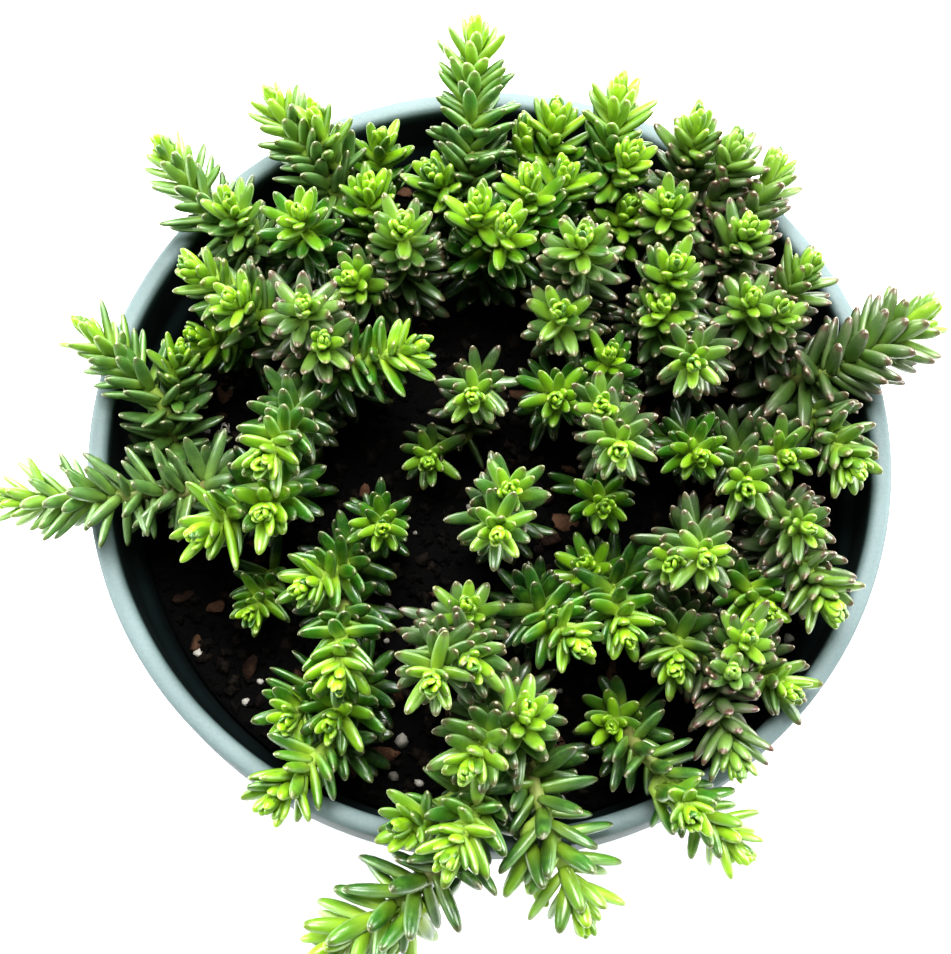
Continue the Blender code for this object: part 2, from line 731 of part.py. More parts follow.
def clear_scene():
    """Removes the startup scene's objects."""
    for old in list(bpy.data.objects):
        bpy.data.objects.remove(old)


def turned_solid(profile, sides):
    """A closed profile from the axis out and back to it, turned into a solid."""
    mesh = bmesh.new()
    rings = []
    for radius, height in profile:
        if radius == 0:
            rings.append([mesh.verts.new((0, 0, height))] * sides)
            continue
        angles = [2 * math.pi * i / sides for i in range(sides)]
        rings.append([mesh.verts.new((radius * math.cos(a), radius * math.sin(a), height)) for a in angles])
    for low, high in zip(rings, rings[1:]):
        for i in range(sides):
            j = (i + 1) % sides
            corners = [low[i], low[j], high[j], high[i]]
            distinct = [v for k, v in enumerate(corners) if v is not corners[k - 1]]
            mesh.faces.new(distinct)
    return mesh


def cut(target, cutter):
    """Cuts one object out of another and hides it."""
    cutter.hide_render = True
    cutter.display_type = "WIRE"
    modifier = target.modifiers.new("cut", "BOOLEAN")
    modifier.operation = "DIFFERENCE"
    modifier.object = cutter


def pot_profile():
    """The pot's section from the middle of its base, up outside, over the lip and back down inside."""
    wall_top = RIM_HEIGHT - SKIRT_HEIGHT
    lip = RIM_RADIUS - RIM_LIP
    step_in = wall_inside(wall_top - 0.01)
    return (
        (0, 0), (BASE_RADIUS - RIM_ROUND, 0), (BASE_RADIUS, RIM_ROUND), (RIM_RADIUS - SKIRT_STEP, wall_top),
        (RIM_RADIUS - RIM_ROUND, wall_top + 0.4), (RIM_RADIUS, RIM_HEIGHT - RIM_ROUND),
        (RIM_RADIUS - RIM_ROUND, RIM_HEIGHT), (lip + RIM_ROUND, RIM_HEIGHT), (lip, RIM_HEIGHT - RIM_ROUND),
        (wall_inside(wall_top + 0.01), wall_top + RIM_ROUND), (step_in, wall_top - RIM_ROUND),
        (wall_inside(FLOOR), FLOOR), (0, FLOOR),
    )


def make_pot():
    """A tapered pot with a stepped skirt and a rounded lip, and drain holes round its floor."""
    finish = material("pot_plastic", (0.30, 0.40, 0.42), 0.45)
    pot = add_object("pot", turned_solid(pot_profile(), POT_SIDES), finish)
    holes = bmesh.new()
    for number in range(DRAIN_HOLES):
        angle = 2 * math.pi * (number + 0.5) / DRAIN_HOLES
        made = bmesh.ops.create_cone(
            holes, cap_ends=True, segments=12, radius1=DRAIN_RADIUS, radius2=DRAIN_RADIUS, depth=4 * FLOOR)
        middle = (DRAIN_CIRCLE * math.cos(angle), DRAIN_CIRCLE * math.sin(angle), FLOOR / 2)
        bmesh.ops.translate(holes, verts=made["verts"], vec=middle)
    cut(pot, add_object("drain_cutter", holes, finish))


def soil_top(draw):
    """Rings of points over the soil, each lifted or sunk by its own lump."""
    edge = wall_inside(RIM_HEIGHT - SOIL_DEPTH) - GAP
    rings = [[(0.0, 0.0, ground(0, 0))]]
    for ring in range(1, SOIL_RINGS + 1):
        points = []
        for i in range(6 * ring):
            angle = 2 * math.pi * i / (6 * ring)
            x = edge * ring / SOIL_RINGS * math.cos(angle)
            y = edge * ring / SOIL_RINGS * math.sin(angle)
            lump = SOIL_LUMP * draw.uniform(-1, 1) if ring < SOIL_RINGS else 0.0
            points.append((x, y, ground(x, y) + lump))
        rings.append(points)
    return rings


def make_soil(roots):
    """The soil's solid, lumpy above and shaped by the pot below, with a plain hole for each stem."""
    mesh = bmesh.new()
    draw = np.random.default_rng(SOIL_SEED)
    rings = [[mesh.verts.new(point) for point in ring] for ring in soil_top(draw)]
    for k in range(1, SOIL_RINGS + 1):
        inner, outer = rings[k - 1], rings[k]
        for sector in range(6):
            for i in range(k):
                a, b = outer[sector * k + i], outer[(sector * k + i + 1) % (6 * k)]
                c = inner[(sector * (k - 1) + i) % len(inner)]
                mesh.faces.new((a, b, c))
                if i < k - 1:
                    d = inner[(sector * (k - 1) + i + 1) % len(inner)]
                    mesh.faces.new((b, d, c))
    above = rings[-1]
    floor = FLOOR + GAP
    radius = wall_inside(floor) - GAP
    angles = [2 * math.pi * i / POT_SIDES for i in range(POT_SIDES)]
    below = [mesh.verts.new((radius * math.cos(a), radius * math.sin(a), floor)) for a in angles]
    for i in range(POT_SIDES):
        j = (i + 1) % POT_SIDES
        mesh.faces.new((below[i], below[j], above[j], above[i]))
    mesh.faces.new(below[::-1])
    soil = add_object("soil", mesh, material("soil_mix", (0.03, 0.022, 0.018), 0.95))
    cut(soil, root_cutter(roots, soil.data.materials[0]))


def root_cutter(roots, finish):
    """A square post in each stem's place, a little wider and deeper than the stem."""
    mesh = bmesh.new()
    half = STEM_HALF + GAP + 0.05
    for x, y in roots.values():
        low, high = ground(x, y) - ROOT_DEPTH - GAP, ground(x, y) + 4.0
        made = bmesh.ops.create_cube(mesh, size=1.0)
        bmesh.ops.scale(mesh, vec=(2 * half, 2 * half, high - low), verts=made["verts"])
        bmesh.ops.translate(mesh, vec=(x, y, (low + high) / 2), verts=made["verts"])
    return add_object("root_cutter", mesh, finish)


def shoot_mesh(branches, leaves):
    """A shoot's closed surface, and the leaf that each of its leaf faces belongs to."""
    mesh, leaf_of = bmesh.new(), {}
    main = branches[0][0]
    foot = [mesh.verts.new(point) for point in ring_points(main.frames[0])]
    mesh.faces.new(foot[::-1])
    forks = {(band, face) for _, band, face in branches[1:]}
    kept = add_branch(mesh, main, foot, leaves, forks, 0, leaf_of)
    for number, (branch, band, face) in enumerate(branches[1:], 1):
        add_branch(mesh, branch, list(kept[band, face]), leaves, set(), number, leaf_of)
    return mesh, leaf_of


def crossing_leaves(mesh, leaf_of):
    """How many crossing faces each leaf has, counting only faces that share no corner."""
    mesh.verts.index_update()
    corners, owners = [], []
    for face in mesh.faces:
        around = [vertex.index for vertex in face.verts]
        for i in range(1, len(around) - 1):
            corners.append((around[0], around[i], around[i + 1]))
            owners.append(leaf_of.get(face))
    tree = BVHTree.FromPolygons([tuple(vertex.co) for vertex in mesh.verts], corners)
    counts = {}
    for one, other in tree.overlap(tree):
        if not set(corners[one]) & set(corners[other]) and owners[one] is not None:
            counts[owners[one]] = counts.get(owners[one], 0) + 1
    return counts


def make_shoots():
    """An object for each shoot, without the leaves whose faces would still cross its other ones."""
    grown = grow_stems()
    leaves = grow_leaves(grown)
    finish = material("sedum_leaf", (0.13, 0.36, 0.04), 0.35)
    for name, branches in grown.items():
        own = {key[1:]: leaf for key, leaf in leaves.items() if key[0] == name}
        mesh, leaf_of = shoot_mesh(branches, own)
        crossing = crossing_leaves(mesh, leaf_of)
        while crossing:
            worst = max(sorted(crossing), key=crossing.get)
            del own[worst]
            mesh.free()
            mesh, leaf_of = shoot_mesh(branches, own)
            crossing = crossing_leaves(mesh, leaf_of)
        add_object("shoot_" + name, mesh, finish)


def main():
    clear_scene()
    make_pot()
    make_soil(spread_roots())
    make_shoots()


main()
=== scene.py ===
"""The looks of the potted sedum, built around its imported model.

Metres, +Z up, with the origin in the middle of the pot's flat base. The plant is worked out in
millimetres, as in the part's source, and MM turns it into metres when a mesh is made.

The stems follow the routes that the part's own stems take, so its table of shoots and the functions
that lay the stems are repeated here. The leaves are finer and more: each stem carries them in a
spiral from its tip down, and Geometry Nodes set a leaf form on every place.
"""

import math
from typing import NamedTuple

import bmesh
import bpy
import numpy as np
from mathutils import Matrix, Vector, noise


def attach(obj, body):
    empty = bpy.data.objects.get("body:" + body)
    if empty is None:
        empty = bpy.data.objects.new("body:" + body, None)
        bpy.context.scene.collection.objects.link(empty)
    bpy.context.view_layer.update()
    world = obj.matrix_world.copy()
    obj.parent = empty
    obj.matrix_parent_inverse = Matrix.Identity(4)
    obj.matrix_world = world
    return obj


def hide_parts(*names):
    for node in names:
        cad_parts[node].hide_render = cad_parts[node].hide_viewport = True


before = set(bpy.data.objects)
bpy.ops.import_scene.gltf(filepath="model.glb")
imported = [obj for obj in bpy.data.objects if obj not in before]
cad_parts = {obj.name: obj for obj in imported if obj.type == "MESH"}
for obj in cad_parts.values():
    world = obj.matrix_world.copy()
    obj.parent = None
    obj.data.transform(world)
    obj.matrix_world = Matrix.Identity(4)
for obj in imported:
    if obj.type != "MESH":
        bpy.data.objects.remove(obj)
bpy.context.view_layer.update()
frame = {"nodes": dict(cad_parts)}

MM = 0.001
UP = np.array([0.0, 0.0, 1.0])

# Pot
RIM_HEIGHT = 92.0
RIM_RADIUS = 60.0
RIM_LIP = 3.0
SKIRT_HEIGHT = 11.0
SKIRT_STEP = 3.6
SKIRT_DRAFT = 0.08  # how much wider inside the skirt is for each millimetre of height
BASE_RADIUS = 42.0
WALL = 1.8
FLOOR = 2.6
DRAIN_HOLES = 6
DRAIN_RADIUS = 4.0
DRAIN_CIRCLE = 29.0

# Soil
SOIL_DEPTH = 14.0  # from the rim down to the soil's edge
SOIL_MOUND = 3.0
SOIL_LUMP = 0.7  # how far a lump stands above or below the smooth surface
GAP = 0.3

# Stems
STEM_HALF = 0.62
TIP_HALF = 0.42
TIP_TAPER = 8.0  # how far below its tip a stem begins to thin
ROOT_DEPTH = 6.0
ROOT_SPACING = 4.6
ROOT_LIMIT = 48.5
ROOT_PASSES = 60
ROOT_RISE = 1.0  # how far over the soil a stem still goes straight up
RING_STEP = 7.0
RISE_REACH = 0.35  # share of a bare stem's length that its start and end directions hold for
CROWN_UP_TURN = 0.35
FORK_BAND = 1.3
FORK_DROP = 5.0
FORK_LEAD = 1.5  # how far a side shoot goes straight out before its first ring
FORK_RISE = 0.25  # how much a side shoot leans along its stem where it starts
FORK_BELOW_TIP = 5.0
FORK_CLEAR = 3.0  # how far from its fork a side shoot may still be close to the stem
BUD_HEIGHT = 1.1
STEM_CLEARANCE = 2.3  # between the middles of two stems
STEM_ROOM = 0.8  # radius of the room that a stem is given beside the pot and the soil
BENDS = (0.0, 2.0, 3.5, 5.0, 7.0)
BEND_WAYS = 8
BLOCKED_COST = 2.0
FORK_MARKS = 30  # places along a stem that are tried for a fork
FORK_ABOVE_SOIL = 3.0
SHORT_DROP_COST = 3.0
HEADING_REACH = 0.5  # how far to either side of a place a curve's direction is read
FIRST_PAIR = 1.05
PAIR_GROWTH = 0.26
WIDEST_PAIR = 2.6
PAIR_TWIST = math.radians(22)
TALL_FROM = 8.0
TALL_SHARE = 0.5

ROOM_SIZE = 60000
ROOM_MARGIN = 5.0

# Leaves as they look, where an age of 1 is full grown
GOLDEN_ANGLE = math.radians(137.5)
FIRST_LEAF = 0.35  # below the tip
SPACING_AT_TIP = 0.25
SPACING_IN_CROWN = 0.40
SPACING_BELOW = 0.45
LEAF_LENGTH = 6.5
LEAF_WIDTH = 2.1
LEAF_THICKNESS = 1.65
GROWN_BELOW = 6.6  # the tip
YOUNGEST_LENGTH, FULL_LENGTH_BELOW = 0.42, 6.0
YOUNGEST_WIDTH, FULL_WIDTH_BELOW = 0.64, 6.0
SPREAD_AT_TIP = 4.0
SPREAD_OPENING = 54.0
OPEN_BELOW = 6.4
SPREAD_OF_AGE = 18.0
AGED_FROM, AGED_OVER = 6.5, 16.0
LEAST_SPREAD = 6.0
SPREAD_DRAW, LENGTH_DRAW, SIDEWAYS_DRAW, ROLL_DRAW = 8.5, 0.11, 10.0, 12.0
LIGHT_TURN = 0.10  # how much a leaf turns up towards the light
OLD_LENGTH, OLD_SPREAD_DRAW = 0.10, 13.0  # how much longer the oldest leaves are and how untidily they stand
LEAF_REACH = 0.70  # radius of the room that a leaf is given
LEAF_TESTED = (0.35, 0.65, 0.96)  # shares of its length between which a leaf is tested
LEAF_TAKEN = (0.2, 0.6, 0.97)  # shares of its length between which it then takes up room
LEAF_START = (0.31, 0.95, 0.05)  # the direction that a spiral's angles start from
LEAVES_FROM = 2.5  # how far over the soil the lowest leaves are
LEAF_GAP = 0.0  # between a leaf and another stem or its leaves
LEAF_SEED = 23
BARE_FROM, BARE_OVER, BARE_SHARE = 28.0, 16.0, 0.4  # where and how many of the lowest leaves are gone
SUNK = 0.55  # share of the stem's radius at which a leaf's foot lies
# Ways to place a leaf that is in the way: degrees aside, degrees further out, share of its length
TRIES = (
    (0, 0, 1.0), (0, -13, 1.0), (0, 13, 1.0), (16, 0, 0.95), (-16, 0, 0.95), (0, -24, 0.9), (20, -14, 0.85),
    (-20, -14, 0.85), (0, 0, 0.78), (0, -16, 0.68), (0, 16, 0.68), (0, -8, 0.5),
)

# The leaf's outline: share of its length, share of its width, share of its thickness
LEAF_OUTLINE = (
    (0.0, 0.66, 0.68), (0.12, 0.84, 0.86), (0.31, 0.99, 0.98), (0.53, 1.0, 1.0), (0.75, 0.87, 0.88),
    (0.895, 0.64, 0.64), (0.968, 0.37, 0.37),
)
LEAF_SIDES = 8
CURL_MIDDLE = 0.3  # share of its length about which a leaf curls and bows
FLAT_ABOVE = 0.62  # how much of its thickness a leaf has above its middle, against below
# The leaf forms: degrees that they curl back along their length, degrees that they bow sideways
LEAF_FORMS = ((-30, 0), (-18, 5), (-10, -7), (0, 6), (14, -4), (26, 8))
YOUNG_FORMS, CROWN_FORMS, OLD_FORMS = (0, 1), (1, 2, 3), (3, 4, 5)
YOUNG_SHARE, CROWN_SHARE = 0.5, 1.4  # of the way over which a leaf grows up

# Leaf colours
# The third of these is the old leaves' own darker green, deepened by painted shade to near black, as if shaded by
# the crowns above.
YOUNG_GREEN, GROWN_GREEN, OLD_SHADED_GREEN = (0.27, 0.46, 0.016), (0.028, 0.145, 0.003), (0.005, 0.046, 0.002)
# The last of these, the foot's yellow-green, is partly the young tissue's own colour and partly painted glow of
# light shining through the leaf.
DEEP_GREEN, PATCH_GREEN, FOOT_GLOW_GREEN = (0.025, 0.10, 0.008), (0.14, 0.30, 0.02), (0.33, 0.47, 0.042)
# The middle one of these, on the leaves' edges, is partly waxy bloom and partly painted sheen of light caught on
# their sides.
PALE_GREEN, EDGE_BLOOM_SHEEN_GREEN, SPECK_GREEN = (0.24, 0.36, 0.15), (0.34, 0.50, 0.24), (0.42, 0.52, 0.37)
DULL_GREEN, BRONZE_GREEN, BRONZE_PURPLE = (0.115, 0.205, 0.062), (0.080, 0.135, 0.050), (0.160, 0.108, 0.115)
TIP_BROWN, TIP_NUB = (0.085, 0.034, 0.026), (0.40, 0.32, 0.26)

# Stems as they look
STEM_RADIUS = 0.70
TIP_RADIUS = 0.40
STEM_SIDES = 10
STEM_POINTS_EVERY = 0.9
STEM_KNOBS, KNOB_WAVES = 0.07, (4.1, 1.7)
STEM_AGE_OVER = 10.0
STEM_GREEN, STEM_OLIVE = (0.28, 0.40, 0.08), (0.15, 0.16, 0.055)
STEM_BROWN, STEM_STREAK = (0.065, 0.042, 0.028), (0.16, 0.09, 0.05)

# How much of a shoot's leaves is bronze, and how pale and thin its leaves are
BRONZE = {
    "back_right_dark": 0.85, "back_right_far": 0.7, "back_right_tall": 0.5, "right_upper_outer": 0.65,
    "right_far": 0.55, "right_upper_inner": 0.45, "right_upper": 0.30, "right_rosette": 0.5, "right_low": 0.42,
    "right_lower": 0.6, "right_fan": 0.6, "right_inner": 0.35, "right_middle": 0.4, "front_right_dark": 0.95,
    "front_right_outer": 0.45, "front_right_inner": 0.35, "upper_left_rosette": 0.6, "upper_middle_right": 0.45,
    "front_rosette": 0.38, "front_middle": 0.3, "left_inner": 0.12, "centre_back": 0.35, "centre_right": 0.4,
    "upper_middle_left": 0.35, "left_upper": 0.3, "back_left": 0.1, "left_far": 0.0, "centre": 0.2,
}
# How full a shoot looks from its side: its leaves are wider and stand more along the stem
TUFTED = {
    "back_spire": 1.0, "back_right": 0.9, "back_middle": 0.8, "back_left": 0.7, "back_left_far": 0.6,
    "back_left_low": 0.5, "back_right_tall": 0.8, "back_right_dark": 0.8, "back_right_far": 0.8, "back_centre": 0.4,
    "upper_middle": 0.5, "upper_middle_right": 0.4, "upper_middle_left": 0.4, "right_far": 0.15, "left_high": 0.6,
    "left_far": 0.5, "left_upper": 0.5, "left_lower": 0.4, "right_low": 0.6, "right_fan": 0.6,
    "front_trail_left": 0.6, "front_trail_middle": 0.6, "front_over_rim": 0.5, "front_trail_right": 0.6,
    "front_left": 0.6, "lower_left": 0.4, "front_right_dark": 0.5, "right_upper_outer": 0.4, "right_upper": 0.4,
    "left_inner": 0.3, "front_middle": 0.3,
}
TUFT_SPREAD, TUFT_WIDTH, TUFT_AGE = -10.0, 0.12, -0.35
# How far apart a shoot's leaves below its crown are, against the rest
SPARSE = {
    "back_spire": 0.62, "back_right": 0.65, "back_middle": 0.7, "back_left": 0.8, "back_right_tall": 0.7,
    "back_right_dark": 0.7, "back_right_far": 0.7, "right_far": 0.9, "upper_middle": 0.8, "back_centre": 0.8,
    "upper_middle_right": 0.8, "upper_middle_left": 0.8, "right_upper": 0.8, "right_low": 0.85, "right_fan": 0.85,
    "front_trail_left": 1.9, "front_trail_middle": 1.7, "front_over_rim": 1.5, "front_trail_right": 1.6,
    "centre_back": 1.8, "centre": 1.7, "centre_right": 1.5, "centre_back_right": 1.7, "centre_left": 1.6,
    "right_middle": 1.5, "right_rosette": 1.4, "front_rosette": 1.3, "right_inner": 1.3, "centre_right_low": 1.5,
    "left_far": 0.95, "left_high": 0.85, "front_left": 1.3, "lower_left": 1.2, "back_left_far": 0.85,
}
# How large a shoot's leaves are, against the rest
VIGOUR = {
    "right_far": 1.26, "front_trail_left": 1.22, "front_trail_middle": 1.14, "front_middle": 1.12,
    "front_rosette": 1.0, "centre": 0.92, "centre_back": 0.9, "centre_back_right": 0.9, "centre_right": 0.94,
    "right_rosette": 0.96, "right_middle": 0.96, "front_over_rim": 1.06, "upper_left_rosette": 1.05,
    "left_lower_dim": 0.84, "centre_left": 0.84, "centre_right_small": 0.82, "right_inner_low": 0.86,
    "centre_right_low": 0.84, "left_lower": 1.06, "left_inner": 1.0, "front_left": 1.08,
}
PALE_LENGTH, PALE_WIDTH = 0.12, -0.14  # of the palest shoots, against the rest
PALE = {
    "left_far": 0.6, "left_high": 0.45, "back_left_far": 0.55, "back_left": 0.4, "front_trail_left": 0.1,
    "front_over_rim": 0.15, "front_trail_middle": 0.2, "front_trail_right": 0.15, "back_spire": 0.25,
    "back_right": 0.2, "front_left": 0.1,
}

# Soil as it looks
SOIL_ROUNDS, SOIL_SECTORS = 54, 150
CLOD_HEIGHT, CLOD_SIZE = 1.0, 7.0
CRUMB_HEIGHT, CRUMB_SIZE = 0.35, 1.9
CRUMBS_PER_MM2 = 0.30
CRUMB_SMALLEST, CRUMB_LARGEST = 0.5, 2.8
SOIL_SEED = 5
SMOOTH_EDGE = 2.0  # how far from the pot's wall the soil has no clods
SOIL_TONE = 0.15
# The earth's dark colour is near black: its own dark colour deepened by painted shade under the foliage, and the
# soil's low tone picks it almost everywhere.
EARTH_AND_SHADE = ((0.0008, 0.0006, 0.0005), (0.034, 0.026, 0.018))
BARK = ((0.012, 0.006, 0.004), (0.17, 0.098, 0.062))
STONE = ((0.06, 0.05, 0.04), (0.50, 0.48, 0.43))
CHIP_COUNT, GRIT_COUNT = 90, 26
CHIP_LENGTHS, GRIT_LENGTHS = (2.0, 5.5), (0.5, 1.5)
LYING_TURN, LYING_OVER = 0.35, 0.3  # how unevenly a chip lies, and how far its middle is over the soil
LOOSE_FORMS = 4
# Bark chips and grit that the view shows: column, row, length in millimetres
SEEN_CHIPS = (
    (215, 606, 4.5), (300, 686, 5.0), (322, 690, 3.5), (565, 525, 5.0), (612, 672, 4.5), (380, 756, 6.0),
    (250, 668, 4.0), (182, 596, 3.5), (548, 498, 4.0), (402, 190, 4.0), (196, 640, 3.5),
)
SEEN_GRIT = (
    (115, 437, 2.0), (130, 450, 1.8), (205, 430, 1.8), (225, 428, 2.2), (192, 654, 1.8), (245, 700, 1.4),
    (389, 612, 2.6), (402, 741, 2.4), (393, 776, 1.8), (419, 783, 1.6), (797, 640, 2.0), (755, 570, 2.2),
    (780, 580, 2.4), (780, 602, 2.0), (780, 622, 1.8),
)

# Pot as it looks
POT_SECTORS = 180
CORNER_STEPS = 5
EDGE_ROUND, FOOT_ROUND = 1.25, 2.2
BASE_RECESS, FOOT_WIDTH = 0.6, 4.0  # how far the base is sunk inside its foot, and how wide the foot is
CORNER_REACH = 0.45  # the share of a side that a rounded corner may take
HOLE_SIDES = 24
# The last colour is painted light on the lip's top, paler as if lit from above.
POT_TEAL, POT_CLOUD, POT_LIT_LIP = (0.043, 0.072, 0.070), (0.062, 0.100, 0.096), (0.195, 0.247, 0.250)
# The second colour is painted shade: near black on the pot's inner wall, as if in shade.
FOOT_DIRT, INSIDE_SHADE = (0.10, 0.09, 0.075), (0.003, 0.010, 0.010)
HOLE_EDGE_ANGLE = math.radians(40)

# Floor and lights, in metres and watts
FLOOR_REACH, COVE_ROUND, COVE_HEIGHT = 1.4, 0.6, 1.1  # the floor's flat part, and the wall that it curves up into
COVE_SECTORS, COVE_STEPS = 72, 10
FLOOR_WHITE = (0.92, 0.92, 0.92)
FLOOR_GLOW, COVE_GLOW = (0.15, 0.15, 0.15), (0.50, 0.50, 0.50)
SKY_STRENGTH = 0.05
LIGHTS = (
    ("top_light", (0.0, 0.14, 0.85), (0.40, 0.40), 8.8),
    ("back_light", (0.10, 0.55, 0.50), (0.40, 0.28), 5.2),
    ("left_light", (-0.62, 0.12, 0.36), (0.34, 0.42), 4.2),
    ("right_light", (0.62, 0.12, 0.36), (0.34, 0.42), 4.2),
)
LENS_SENSOR = 36.0
IMAGE_HEIGHT = 954

# The view in which the shoots' places were read, 951 columns by 954 rows
VIEW_MIDDLE = (475.5, 477.0)
VIEW_FOCAL = 2025.0
VIEW_ELEVATION = math.radians(71.4)
VIEW_DISTANCE = 300.0
VIEW_AIM = (-2.1, -4.7)  # on the rim's plane


class Head(NamedTuple):
    """A leafy end: its tip and where its leaves begin, as column, row and height over the rim."""

    tip: tuple
    base: tuple


class Shoot(NamedTuple):
    """A rooted stem: the column and row of its root, its own head and those of its side shoots."""

    root: tuple
    head: Head
    sides: tuple = ()


def shoot(root, *heads):
    """A shoot of its root and the six numbers of each head: its own head, then those of its side shoots."""
    own, *sides = [Head(numbers[:3], numbers[3:]) for numbers in heads]
    return Shoot(root, own, tuple(sides))


SHOOTS = {
    "back_left_far": shoot((262, 262), (163, 148, 10, 215, 215, 4), (231, 203, 11, 240, 230, 4)),
    "back_left": shoot((345, 225), (272, 98, 14, 325, 178, 6), (316, 116, 15, 330, 162, 8)),
    "back_left_low": shoot((372, 262), (369, 184, 12, 371, 222, 4), (380, 138, 7, 377, 176, -1)),
    "back_left_rosette": shoot((325, 275), (298, 212, 18, 306, 238, 8)),
    "back_spire": shoot((468, 225), (475, 30, 20, 470, 178, 8), (432, 172, 12, 452, 196, 4)),
    "back_middle": shoot((535, 215), (556, 112, 13, 550, 168, 4), (527, 128, 12, 528, 166, 5)),
    "back_right": shoot(
        (592, 222), (621, 88, 16, 607, 165, 6), (632, 152, 14, 614, 184, 5), (630, 205, 8, 618, 232, 0)),
    "back_centre": shoot((530, 262), (530, 178, 18, 534, 220, 8), (565, 172, 13, 556, 206, 5)),
    "back_right_tall": shoot((668, 250), (697, 120, 15, 690, 178, 5), (668, 200, 14, 668, 226, 5)),
    "back_right_dark": shoot((690, 240), (736, 142, 15, 715, 196, 6)),
    "back_right_far": shoot((705, 285), (774, 160, 12, 742, 232, 5), (750, 226, 14, 734, 252, 6)),
    "left_upper": shoot((285, 330), (190, 266, 14, 245, 298, 6), (230, 298, 17, 262, 318, 8)),
    "left_upper_low": shoot((262, 352), (196, 336, 6, 238, 344, -1)),
    "upper_left_rosette": shoot((318, 390), (303, 306, 24, 304, 320, 14), (324, 340, 20, 318, 348, 11)),
    "upper_left_side": shoot((345, 400), (418, 346, 20, 352, 362, 12)),
    "centre_back": shoot((470, 425), (474, 397, 18, 478, 385, 8), (428, 462, 2, 430, 452, -5)),
    "upper_middle_left": shoot((400, 315), (403, 222, 22, 404, 258, 11), (350, 278, 16, 368, 290, 7)),
    "upper_middle": shoot((482, 285), (478, 203, 18, 484, 242, 8), (506, 225, 20, 500, 252, 10)),
    "upper_middle_right": shoot((565, 330), (583, 236, 26, 577, 272, 13), (560, 310, 19, 563, 328, 9)),
    "centre_right_small": shoot((598, 400), (610, 352, 14, 606, 374, 5)),
    "centre_back_right": shoot((545, 420), (557, 398, 14, 558, 392, 5)),
    "centre_right": shoot((612, 470), (620, 450, 24, 617, 432, 15), (603, 405, 19, 602, 411, 9)),
    "right_upper": shoot((652, 355), (675, 264, 20, 668, 292, 11), (664, 302, 17, 661, 324, 8)),
    "right_rosette": shoot((680, 395), (694, 365, 20, 691, 350, 10)),
    "right_upper_inner": shoot((728, 345), (752, 297, 16, 745, 320, 6)),
    "right_upper_outer": shoot((745, 360), (784, 309, 15, 772, 330, 6), (812, 262, 12, 786, 296, 6)),
    "right_far": shoot((770, 392), (922, 315, 8, 836, 368, 4)),
    "right_low": shoot((790, 425), (858, 470, 10, 822, 424, 3)),
    "right_inner_low": shoot((672, 455), (701, 456, 12, 690, 444, 3)),
    "right_inner": shoot((728, 455), (747, 488, 14, 741, 468, 5), (788, 456, 9, 775, 449, 1)),
    "left_high": shoot((175, 470), (85, 328, 9, 150, 388, 3), (180, 352, 7, 176, 392, -1)),
    "left_far": shoot((215, 492), (10, 499, 6, 178, 492, 4)),
    "left_inner": shoot((300, 440), (262, 462, 22, 289, 426, 14)),
    "left_lower": shoot((285, 500), (198, 534, 13, 240, 508, 7), (262, 512, 17, 274, 490, 9)),
    "left_lower_dim": shoot((275, 580), (249, 614, 1, 263, 592, -5)),
    "lower_left_upper": shoot((352, 572), (300, 588, 12, 336, 572, 6)),
    "centre_left": shoot((380, 540), (382, 528, 10, 380, 518, 1)),
    "centre": shoot((505, 545), (498, 534, 26, 498, 520, 17), (509, 490, 23, 509, 498, 13)),
    "centre_right_low": shoot((590, 500), (605, 507, 10, 600, 496, 1)),
    "lower_left": shoot((352, 615), (338, 684, 16, 342, 636, 10)),
    "lower_left_low": shoot((362, 690), (330, 724, 10, 345, 700, 3), (287, 722, 8, 302, 708, 1)),
    "front_left": shoot((345, 745), (272, 802, 10, 312, 762, 6)),
    "front_rosette": shoot(
        (462, 640), (432, 684, 26, 440, 656, 17), (472, 664, 24, 464, 648, 16), (467, 606, 17, 468, 624, 9)),
    "front_middle": shoot((500, 720), (468, 770, 20, 490, 736, 14), (527, 712, 20, 516, 730, 12)),
    "front_over_rim": shoot((488, 795), (450, 856, 16, 470, 820, 11), (401, 826, 11, 428, 822, 6)),
    "front_trail_left": shoot((462, 790), (328, 950, -4, 436, 872, 5), (394, 934, -8, 406, 914, -3)),
    "front_trail_middle": shoot((528, 770), (583, 916, 0, 545, 816, 7), (540, 884, -2, 534, 852, 2)),
    "front_inner_left": shoot((535, 620), (578, 646, 16, 553, 622, 10)),
    "front_inner_right": shoot((612, 590), (628, 637, 14, 618, 606, 8), (585, 564, 4, 596, 578, -4)),
    "right_lower": shoot((768, 515), (808, 528, 12, 790, 520, 4)),
    "right_fan": shoot((775, 560), (834, 612, 12, 800, 560, 6)),
    "right_middle": shoot((688, 560), (706, 558, 22, 696, 546, 12), (672, 563, 19, 680, 554, 11)),
    "right_lower_inner": shoot((730, 580), (765, 612, 8, 746, 586, 1)),
    "front_right_inner": shoot((672, 625), (675, 668, 12, 678, 638, 6)),
    "front_right_outer": shoot((735, 655), (792, 692, 7, 756, 670, 1), (749, 637, 14, 738, 650, 6)),
    "front_right_dark": shoot((700, 650), (738, 768, 8, 712, 676, 6), (733, 672, 15, 730, 674, 8)),
    "front_trail_right": shoot(
        (630, 740), (742, 852, 3, 650, 760, 6), (692, 815, 13, 686, 800, 8.5), (612, 726, 3, 619, 715, -5)),
}
SHOOT_NAMES = list(SHOOTS)


def unit(vector):
    """The vector's direction."""
    return vector / np.linalg.norm(vector)


def turned(vector, axis, angle):
    """The vector turned about a unit axis."""
    along = axis * np.dot(axis, vector)
    flat = vector - along
    return along + flat * math.cos(angle) + np.cross(axis, flat) * math.sin(angle)


def smooth(value):
    """0 up to 0, 1 from 1 on, and smooth between them."""
    value = min(max(value, 0.0), 1.0)
    return value * value * (3 - 2 * value)


